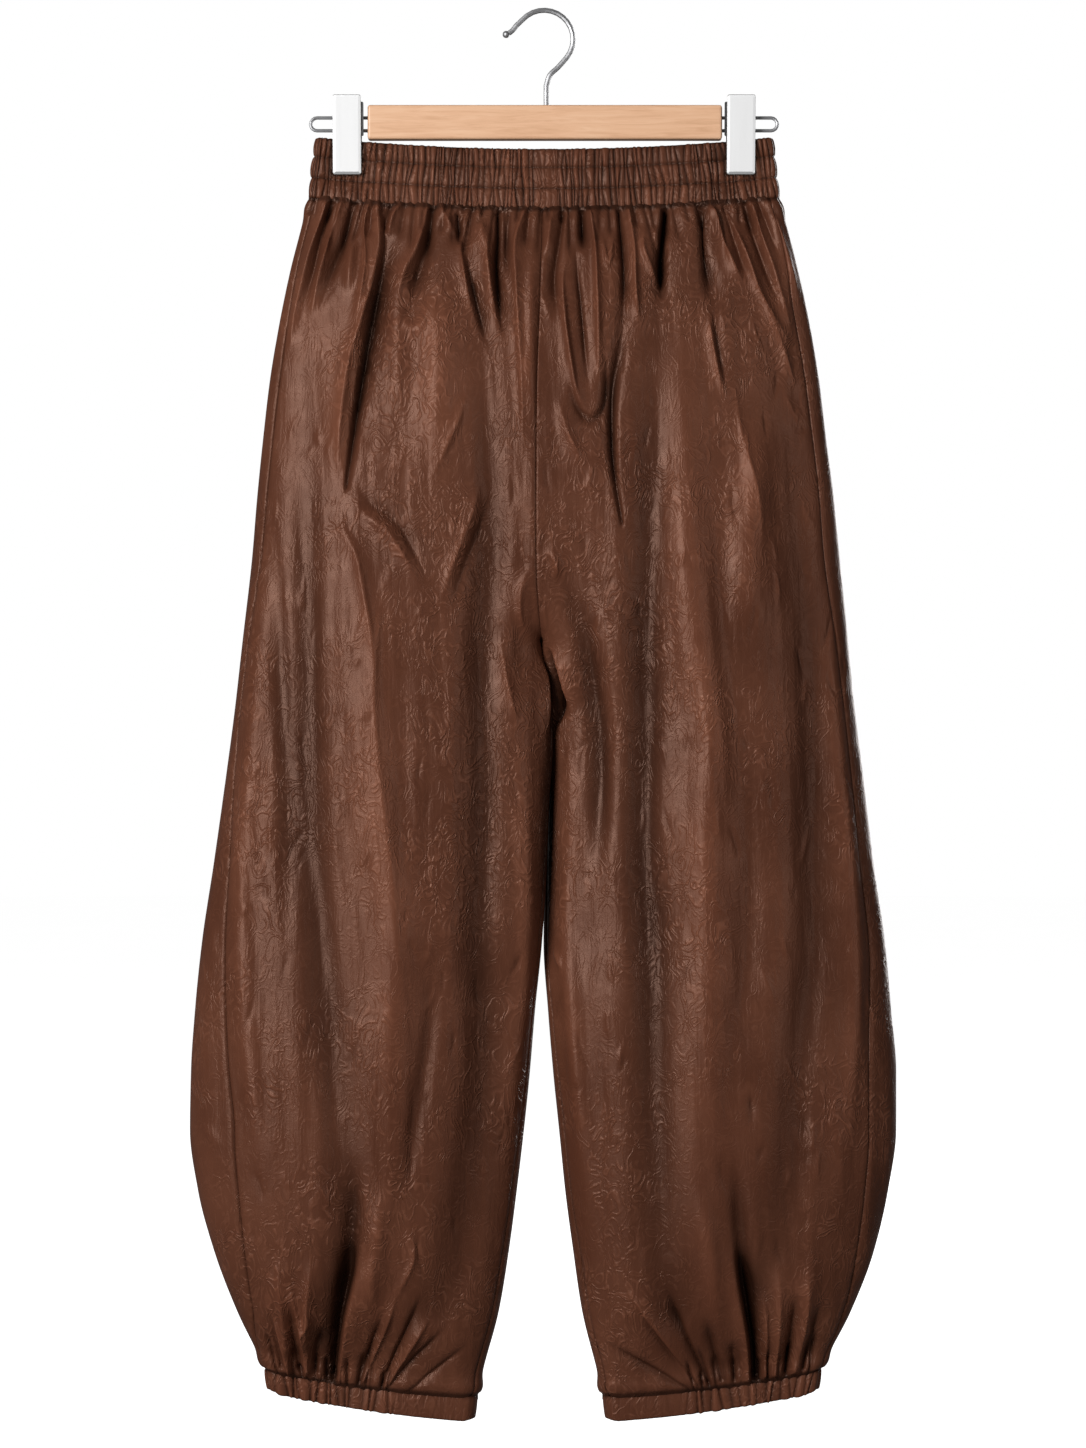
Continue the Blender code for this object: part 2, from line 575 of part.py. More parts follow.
# ---------------------------------------------------------------- the cuffs
def cuff_loop(side, share, samples=400):
    """x, y, outward x and y, and share across, round the outer face at a share of the height."""
    sign = 1 if side == "left" else -1
    outer = section("outer_" + side, CUFF_SEAM_Z + CUFF_TILT) - sign * CUFF_NARROWING * share
    inner = section("inner_" + side, CUFF_SEAM_Z - CUFF_TILT) + sign * CUFF_NARROWING * share
    width = abs(outer - inner)
    across = (1 - np.cos(np.linspace(0, math.pi, samples))) / 2
    x = inner + (outer - inner) * across
    depth = CUFF_DEPTH * rounding(np.minimum(across, 1 - across) * width, CUFF_END_ROUND)
    loop = np.concatenate([np.stack([x, -depth], 1), np.stack([x, depth], 1)[-2::-1]])
    across = np.concatenate([across, across[-2::-1]])
    return np.column_stack([loop, outward_of(loop) * sign, across])


def cuff(side, seed, material):
    """A cuff: a ring, pleated over its outer part in front and behind and plain inside."""
    rng = np.random.default_rng(seed)
    pleated = uneven_places(2 * CUFF_PLEATS, rng, CUFF_UNEVEN) * CUFF_PLEATED_SHARE
    plain = np.linspace(CUFF_PLEATED_SHARE, 1, CUFF_PLAIN_COLUMNS + 1)[1:]
    front = 1 - np.concatenate([pleated, plain])[::-1]
    places = np.concatenate([front[:-1] / 2, 1 - front[:0:-1] / 2])
    count = len(places)
    bare, full = (1 - CUFF_PLEATED_SHARE + step for step in CUFF_PLEATED_FADE)
    fade = ease(bare, full, 1 - np.abs(1 - 2 * places))
    crest = np.where(np.arange(count) % 2, rng.uniform(*CUFF_CREST, count), CUFF_GROOVE) * fade

    def row_at(share, inset, places):
        loop = cuff_loop(side, share)
        length = measure_of(loop[:, :2], 0)
        x, y, outward_x, outward_y, across = along(loop, length, places * length[-1]).T
        tau = 2 * across - 1
        top = CUFF_SEAM_Z + CUFF_TILT * tau - CUFF_BOW * (1 - tau**2) - SEAM_GAP / 2
        corner = CUFF_CORNER * ease(CUFF_CORNER_FROM, 1.0, np.abs(tau))
        z = top - (CUFF_HEIGHT - CUFF_SPLAY * tau - corner) * share
        outward = unit(np.stack([outward_x, outward_y], axis=1))
        return np.column_stack([np.stack([x, y], axis=1) - inset * outward, z]), outward

    outer = []
    for share, swell in CUFF_ROWS:
        row, outward = row_at(share, 0, places)
        row[:, :2] += outward * (crest * CUFF_PLEAT_HEIGHT * swell)[:, None]
        row[:, 2] -= crest * CUFF_SCALLOP * share
        outer.append(row)
    inner = [row_at(share, CUFF_WALL, places[::2])[0] for share in (0.0, 1.0)]
    return wall("cuff_" + side, outer, inner, material, ring=True, smooth=SMOOTH_PLEATS)


# ---------------------------------------------------------------- hanger pieces
def block(name, size, material, collection="trousers_on_hanger"):
    bm = bmesh.new()
    bmesh.ops.create_cube(bm, size=1)
    bmesh.ops.scale(bm, vec=size, verts=bm.verts)
    return to_object(name, bm, material, collection, smooth=math.radians(30))


def rod_cutter(name, radius, length, location, axis):
    """A hidden cylinder that cuts a bore along the X or Z axis."""
    bm = bmesh.new()
    bmesh.ops.create_cone(bm, cap_ends=True, segments=12, radius1=radius, radius2=radius, depth=length)
    cutter = to_object(name, bm, None, "cutters")
    cutter.location = location
    if axis == "X":
        cutter.rotation_euler = (0, math.pi / 2, 0)
    cutter.hide_render = True
    cutter.display_type = "WIRE"
    return cutter


def cut(obj, cutter):
    modifier = obj.modifiers.new(cutter.name, "BOOLEAN")
    modifier.operation = "DIFFERENCE"
    modifier.object = cutter


def bevel(obj, width, segments):
    modifier = obj.modifiers.new("rounded edges", "BEVEL")
    modifier.width = width
    modifier.segments = segments
    modifier.limit_method = "ANGLE"


def wire(name, points, radius, material):
    """A round wire through points in metres, as a mesh with welded caps."""
    curve = bpy.data.curves.new(name, "CURVE")
    curve.dimensions = "3D"
    curve.bevel_depth = radius
    curve.bevel_resolution = 2
    curve.use_fill_caps = True
    spline = curve.splines.new("POLY")
    spline.points.add(len(points) - 1)
    for point, place in zip(spline.points, points):
        point.co = (*place, 1)
    obj = bpy.data.objects.new(name, curve)
    bpy.context.scene.collection.objects.link(obj)
    graph = bpy.context.evaluated_depsgraph_get()
    mesh = bpy.data.meshes.new_from_object(obj.evaluated_get(graph))
    bpy.data.objects.remove(obj)
    bm = bmesh.new()
    bm.from_mesh(mesh)
    bpy.data.meshes.remove(mesh)
    bmesh.ops.remove_doubles(bm, verts=bm.verts, dist=0.01 * MM)
    return to_object(name, bm, material)


def smooth_path(points, steps):
    """A curve through every point, with the same number of steps between each pair."""
    points = np.array(points, float)
    ends = np.concatenate([[2 * points[0] - points[1]], points, [2 * points[-1] - points[-2]]])
    path = []
    for a, b, c, d in zip(ends, ends[1:], ends[2:], ends[3:]):
        square = 2 * a - 5 * b + 4 * c - d
        cube = 3 * b - a - 3 * c + d
        for t in np.linspace(0, 1, steps, endpoint=False):
            path.append((2 * b + (c - a) * t + square * t**2 + cube * t**3) / 2)
    return path + [points[-1]]


def hanger_bar(material):
    bar = block("hanger_bar", (BAR_RIGHT_X - BAR_LEFT_X, BAR_THICK, BAR_TOP_Z - BAR_BOTTOM_Z), material)
    bar.location = ((BAR_LEFT_X + BAR_RIGHT_X) / 2, 0, (BAR_TOP_Z + BAR_BOTTOM_Z) / 2)
    bevel(bar, BAR_BEVEL, 3)
    rail_bore = RAIL_RADIUS + BORE_PLAY
    for side, end in (("right", BAR_LEFT_X), ("left", BAR_RIGHT_X)):
        for level, z in (("high", RAIL_HIGH_Z), ("low", RAIL_LOW_Z)):
            cut(bar, rod_cutter(f"bore_{side}_{level}", rail_bore, 2 * BORE_DEPTH, (end, 0, z), "X"))
    hook_bore = HOOK_RADIUS + BORE_PLAY
    cut(bar, rod_cutter("bore_hook", hook_bore, 2 * BORE_DEPTH, (HOOK_SHANK_X, 0, BAR_TOP_Z), "Z"))


def hanger_hook(material):
    """The hook: a shank out of the bar, a bend, a round bow and a tail with a ball end."""
    centre_z = HOOK_RADIUS - HOOK_ARC_RADIUS
    arc = [
        (HOOK_ARC_RADIUS * math.cos(a), centre_z + HOOK_ARC_RADIUS * math.sin(a))
        for a in np.linspace(HOOK_ARC_START, HOOK_ARC_END, 15)
    ]
    neck = [(x * MM, z * MM) for x, z in HOOK_NECK]
    tail = [(x * MM, z * MM) for x, z in HOOK_TAIL]
    shank = (HOOK_SHANK_X, HOOK_NECK_LOW_Z)
    route = smooth_path([shank, *neck[::-1], arc[0]], 4)[:-1] + arc + smooth_path(tail, 2)
    foot = BAR_TOP_Z - BORE_DEPTH + BORE_PLAY
    points = [(HOOK_SHANK_X, 0, foot), (HOOK_SHANK_X, 0, BAR_TOP_Z + HOOK_ABOVE_BAR)]
    points += [(x, 0, z) for x, z in route]
    hook = wire("hanger_hook", points, HOOK_RADIUS, material)
    bm = bmesh.new()
    bmesh.ops.create_uvsphere(bm, u_segments=14, v_segments=9, radius=HOOK_BALL_RADIUS)
    ball = to_object("hook_ball", bm, None, "cutters")
    ball.location = (HOOK_BALL[0], 0, HOOK_BALL[1])
    ball.hide_render = True
    ball.display_type = "WIRE"
    join = hook.modifiers.new("ball end", "BOOLEAN")
    join.operation = "UNION"
    join.object = ball


def rail(side, material):
    """A wire bent into a U, with both ends in the bar."""
    sign = 1 if side == "left" else -1
    end = BAR_RIGHT_X if side == "left" else BAR_LEFT_X
    inside = end - sign * (BORE_DEPTH - BORE_PLAY)
    bend = (RAIL_HIGH_Z - RAIL_LOW_Z) / 2
    centre_x = RAIL_TIP - RAIL_RADIUS - bend
    centre_z = (RAIL_HIGH_Z + RAIL_LOW_Z) / 2
    turn = [
        (sign * (centre_x + bend * math.cos(a)), 0, centre_z + bend * math.sin(a))
        for a in np.linspace(math.pi / 2, -math.pi / 2, 9)
    ]
    points = [(inside, 0, RAIL_HIGH_Z), *turn, (inside, 0, RAIL_LOW_Z)]
    wire("rail_" + side, points, RAIL_RADIUS, material)


def clip_plate(name, x, face, top_z, material):
    """One plate of a clip. face is -1 in front and 1 behind, and its foot presses on the cloth."""
    length = (top_z - CLIP_TIP_Z) / math.cos(CLIP_LEAN)
    plate = block(name, (CLIP_WIDTH, CLIP_PLATE, length), material)
    for vertex in plate.data.vertices:
        vertex.co.z += length / 2
        vertex.co.y += face * CLIP_PLATE / 2
    bevel(plate, CLIP_BEVEL, 2)
    plate.location = (x, face * JAW_HALF_GAP, CLIP_TIP_Z)
    plate.rotation_euler = (-face * CLIP_LEAN, 0, 0)


def clip_saddle(side, x, material):
    """The spring saddle between the plates, with a bore for each wire of the rail."""
    height = SADDLE_TOP_Z - SADDLE_LOW_Z
    saddle = block("clip_saddle_" + side, (SADDLE_WIDTH, CLIP_PLATE, height), material)
    for vertex in saddle.data.vertices:
        level = SADDLE_TOP_Z if vertex.co.z > 0 else SADDLE_LOW_Z
        plate_face = JAW_HALF_GAP + (level - CLIP_TIP_Z) * math.tan(CLIP_LEAN)
        vertex.co.y = math.copysign(plate_face - SEAM_GAP / math.cos(CLIP_LEAN), vertex.co.y)
    saddle.location = (x, 0, (SADDLE_TOP_Z + SADDLE_LOW_Z) / 2)
    bore = RAIL_RADIUS + BORE_PLAY
    for level, z in (("high", RAIL_HIGH_Z), ("low", RAIL_LOW_Z)):
        name = f"saddle_bore_{side}_{level}"
        cut(saddle, rod_cutter(name, bore, 2 * SADDLE_WIDTH, (x, 0, z), "X"))


# ---------------------------------------------------------------- materials
def paint(name, colour, roughness, metallic=0.0):
    material = bpy.data.materials.new(name)
    material.use_nodes = True
    shader = material.node_tree.nodes["Principled BSDF"]
    shader.inputs["Base Color"].default_value = (*colour, 1)
    shader.inputs["Roughness"].default_value = roughness
    shader.inputs["Metallic"].default_value = metallic
    material.diffuse_color = (*colour, 1)
    return material


def main():
    for obj in list(bpy.data.objects):
        bpy.data.objects.remove(obj)
    for name in ("trousers_on_hanger", "cutters"):
        bpy.context.scene.collection.children.link(bpy.data.collections.new(name))

    cloth = paint("faux leather", (0.12, 0.045, 0.027), 0.42)
    cloth_behind = paint("faux leather behind", (0.10, 0.038, 0.023), 0.42)
    band_cloth = paint("faux leather band", (0.105, 0.04, 0.025), 0.45)
    cuff_cloth = paint("faux leather cuff", (0.11, 0.04, 0.025), 0.45)
    maple = paint("maple", (0.72, 0.45, 0.26), 0.5)
    chrome = paint("chromed wire", (0.62, 0.62, 0.62), 0.18, 1.0)
    satin = paint("satin clip", (0.82, 0.82, 0.83), 0.35, 0.6)
    spring_steel = paint("spring steel", (0.12, 0.12, 0.12), 0.4, 1.0)

    for side in ("right", "left"):
        grid, normals, rows = leg_surfaces(side)
        split = FRONT_COLUMNS + 1
        leg_panel("front_leg_" + side, grid[:, :split], normals[:, :split], rows, cloth)
        leg_panel("back_leg_" + side, grid[:, split - 1 :], normals[:, split - 1 :], rows, cloth_behind)
    band_half("waistband_front", FRONT_PLEATS, 11, band_cloth)
    band_half("waistband_back", BACK_PLEATS, 12, band_cloth)
    cuff("right", 21, cuff_cloth)
    cuff("left", 22, cuff_cloth)

    hanger_bar(maple)
    hanger_hook(chrome)
    for side, x in (("right", -CLIP_X), ("left", CLIP_X)):
        rail(side, chrome)
        clip_plate("clip_front_" + side, x, -1, CLIP_TOP_Z, satin)
        clip_plate("clip_back_" + side, x, 1, CLIP_BACK_TOP_Z, satin)
        clip_saddle(side, x, spring_steel)


main()
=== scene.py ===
"""Looks for faux leather balloon trousers that hang from a clip hanger.

Lengths are in metres, +Z is up and the front of the trousers faces -Y. The origin is the highest
point inside the hook, and the wearer's right is at -X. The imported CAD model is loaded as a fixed
frame; each cloth piece here is a finer shell on the form of the solid that it replaces.
"""

import math

import bmesh
import bpy
import numpy as np
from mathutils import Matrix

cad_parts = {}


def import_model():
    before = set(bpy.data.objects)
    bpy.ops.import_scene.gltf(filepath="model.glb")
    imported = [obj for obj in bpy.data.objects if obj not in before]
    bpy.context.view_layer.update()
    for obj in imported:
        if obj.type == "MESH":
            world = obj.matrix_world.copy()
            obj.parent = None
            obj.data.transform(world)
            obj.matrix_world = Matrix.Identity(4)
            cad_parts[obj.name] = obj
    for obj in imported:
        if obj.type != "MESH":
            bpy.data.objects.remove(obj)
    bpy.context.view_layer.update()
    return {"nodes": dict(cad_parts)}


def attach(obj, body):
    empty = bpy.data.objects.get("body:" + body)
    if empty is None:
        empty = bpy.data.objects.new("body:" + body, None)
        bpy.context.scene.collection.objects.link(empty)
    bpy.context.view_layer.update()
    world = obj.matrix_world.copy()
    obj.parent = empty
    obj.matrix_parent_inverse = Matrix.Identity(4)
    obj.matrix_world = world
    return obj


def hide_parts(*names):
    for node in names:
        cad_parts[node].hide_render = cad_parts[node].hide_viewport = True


MM = 0.001

# ---------------------------------------------------------------- the cloth's sizes, as in the CAD
SEAM_GAP = 0.3 * MM
BAND_WALL = 2.5 * MM
CUFF_WALL = 2.2 * MM

WAIST_SEAM_Z = -154.5 * MM  # the lower edge of the band at the centre front
BAND_HEIGHT = 47.6 * MM
WAIST_SAG = 9.2 * MM  # the clips lift both ends of the band above its middle
WAIST_SAG_END_Z = -330 * MM
BAND_TOP_HALF = 177.5 * MM
BAND_LOW_HALF = 183.0 * MM
BAND_END_ROUND = 7.0 * MM

CROTCH_Z = -489 * MM
RISE_TOP_Z = -250 * MM  # from here down the body starts to part into two legs
RISE_GROOVE = 25 * MM
RISE_GROOVE_SHARE = 0.16
TOUCH_TOP_Z, TOUCH_FULL_Z, TOUCH_LOW_Z = -495 * MM, -540 * MM, -770 * MM
TOUCH_STAGGER = 9 * MM
TOUCH_FADE = 60 * MM
CROTCH_LAP = 3.2 * MM  # the thighs press into each other just below the crotch
CROTCH_FIRST_LAP = 1.3 * MM
CROTCH_FIRST_LAP_Z = (CROTCH_Z + 6 * MM, CROTCH_Z - 2 * MM)  # where it starts and is full
CROTCH_LAP_REACH = 14 * MM
CROTCH_LAP_Z = (-540 * MM, -560 * MM, -620 * MM)  # where the lap is full, starts to fade and ends
SEAT_FULLNESS = 0.14
SEAT_Z = -345 * MM
SEAT_REACH = 150 * MM

CUFF_SEAM_Z = -1067 * MM
CUFF_TILT = 10.2 * MM
CUFF_BOW = 3.2 * MM
CUFF_TILT_TOP_Z = -925 * MM
CUFF_HEIGHT = 18.6 * MM
CUFF_SPLAY = 1.5 * MM
CUFF_CORNER = 1.6 * MM
CUFF_DEPTH = 12.0 * MM
CUFF_NARROWING = 2.0 * MM
CUFF_END_ROUND = 10 * MM

CLIP_X = 153.4 * MM
CLIP_HALF_WIDTH = 11 * MM
CLIP_TIP_Z = -126.4 * MM
CLIP_LEAN = math.radians(8.2)
JAW_HALF_GAP = 3.1 * MM
GRIPPED_DEPTH = JAW_HALF_GAP - SEAM_GAP
GRIP_FLAT, GRIP_REACH = 12.5 * MM, 30 * MM
GRIP_TOP_Z, GRIP_LOW_Z = -119 * MM, -131 * MM
GRIP_SPREAD = 0.2  # how fast the gripped cloth widens below the clip
GRIP_END_Z = -215 * MM

# One row for each section through the legs, in millimetres, as in the CAD model.
SECTION_COLUMNS = (
    "z outer_right inner_right inner_left outer_left depth edge side_right side_left inseam".split()
)
SECTIONS = (
    (-1080, -208.0, -52.0, 46.0, 207.0, 10.5, 0.12, 2.0, 4.0, 5.0),
    (-1059, -216.6, -47.6, 41.3, 215.3, 15.0, 0.20, 2.0, 4.0, 5.0),
    (-1012, -239.5, -35.1, 29.6, 239.5, 32.0, 0.60, 16.0, 8.0, 5.0),
    (-965, -257.4, -27.3, 22.6, 257.4, 42.0, 0.82, 26.0, 15.0, 4.5),
    (-918, -269.9, -21.1, 16.4, 268.3, 47.0, 0.92, 34.0, 20.0, 4.0),
    (-871, -276.1, -15.6, 11.7, 274.6, 48.5, 0.95, 37.0, 23.0, 3.5),
    (-825, -275.3, -10.9, 7.0, 274.6, 48.5, 0.95, 32.0, 23.0, 3.0),
    (-778, -272.2, -7.0, 3.1, 270.7, 47.5, 0.95, 26.0, 19.0, 2.5),
    (-725, -266.8, -1.6, -0.4, 266.0, 46.5, 0.95, 20.0, 14.0, 2.0),
    (-663, -257.5, 2.4, 0.6, 257.0, 45.5, 0.95, 14.0, 12.5, 1.5),
    (-583, -246.3, 4.6, 2.2, 247.5, 45.0, 0.95, 7.0, 11.0, 1.0),
    (-540, -240.7, 3.2, 1.6, 242.0, 44.5, 0.95, 5.0, 10.0, 0.5),
    (-489, -235.0, -2.3, -2.3, 237.2, 44.0, 0.95, 6.0, 11.0, 0.0),
    (-427, -227.8, -6.0, -6.0, 230.9, 43.0, 0.97, 8.0, 13.0, 0.0),
    (-380, -223.9, -6.2, -6.2, 226.2, 42.0, 0.98, 8.0, 12.0, 0.0),
    (-333, -219.2, -6.0, -6.0, 220.2, 40.0, 0.98, 8.0, 11.0, 0.0),
    (-286, -213.7, -5.2, -5.2, 214.5, 37.0, 0.95, 8.0, 11.0, 0.0),
    (-240, -205.9, -3.6, -3.6, 206.7, 32.0, 0.88, 7.0, 11.0, 0.0),
    (-200, -197.6, -2.4, -2.4, 197.9, 25.5, 0.70, 5.0, 9.5, 0.0),
    (-175, -191.2, -1.8, -1.8, 191.6, 18.5, 0.40, 5.0, 8.5, 0.0),
    (-155, -186.0, -1.2, -1.2, 186.4, 10.5, 0.10, 5.0, 8.0, 0.0),
    (-143, -183.0, -1.0, -1.0, 183.0, 7.4, 0.04, 4.5, 7.0, 0.0),
)
TURN_WEIGHT = 14 * MM

# ---------------------------------------------------------------- folds
# How each style of fold runs: power is 2 for a soft round profile and 1 for a crisp edge; then come
# its height and its width at the top and at the low end, as shares of the full ones; gain scales its
# height, and shade is how strongly it is painted darker in a valley and lighter on a ridge.
STYLE_COLUMNS = "power high_top high_low wide_top wide_low gain shade".split()
STYLES = {
    "soft": (2.0, 0.0, 0.0, 0.8, 0.8, 1.3, 0.8),
    "long": (2.2, 0.2, 0.5, 0.7, 1.0, 1.05, 0.78),  # a soft valley that runs most of the way down a leg
    "crisp": (1.1, 0.0, 0.0, 0.7, 0.7, 1.5, 1.2),
    "waist": (1.4, 0.9, 0.0, 0.5, 1.1, 1.5, 1.0),
    "edge": (1.1, 0.8, 0.0, 0.5, 1.0, 1.7, 1.2),  # a crisp line that starts at the waist seam
    "tip": (1.4, 0.3, 0.5, 1.0, 0.2, 1.3, 1.0),  # narrows to a point at its low end
    "cuff": (1.3, 0.0, 0.9, 1.1, 0.42, 1.3, 1.0),
    "hem": (1.1, 0.0, 0.8, 1.0, 0.5, 1.7, 1.2),  # a crisp line that ends at the cuff seam
}

# The main folds, in millimetres: style, half width on the wearer's right and on the left, height
# (below zero for a valley) and the points x,z that it runs through, from the top down.
FOLD_COLUMNS = "style right left height path".split()


def fold_rows(text):
    """The rows of a table of folds; a line that starts with a point goes on with the row above it."""
    rows = []
    for words in map(str.split, text.strip().splitlines()):
        if words[0] in STYLES:
            rows.append(words)
        elif words[0] != "#":
            rows[-1] += words
    folds = []
    for style, right, left, height, *points in rows:
        path = [tuple(map(float, point.split(","))) for point in points]
        folds.append((style, float(right), float(left), float(height), path))
    return folds


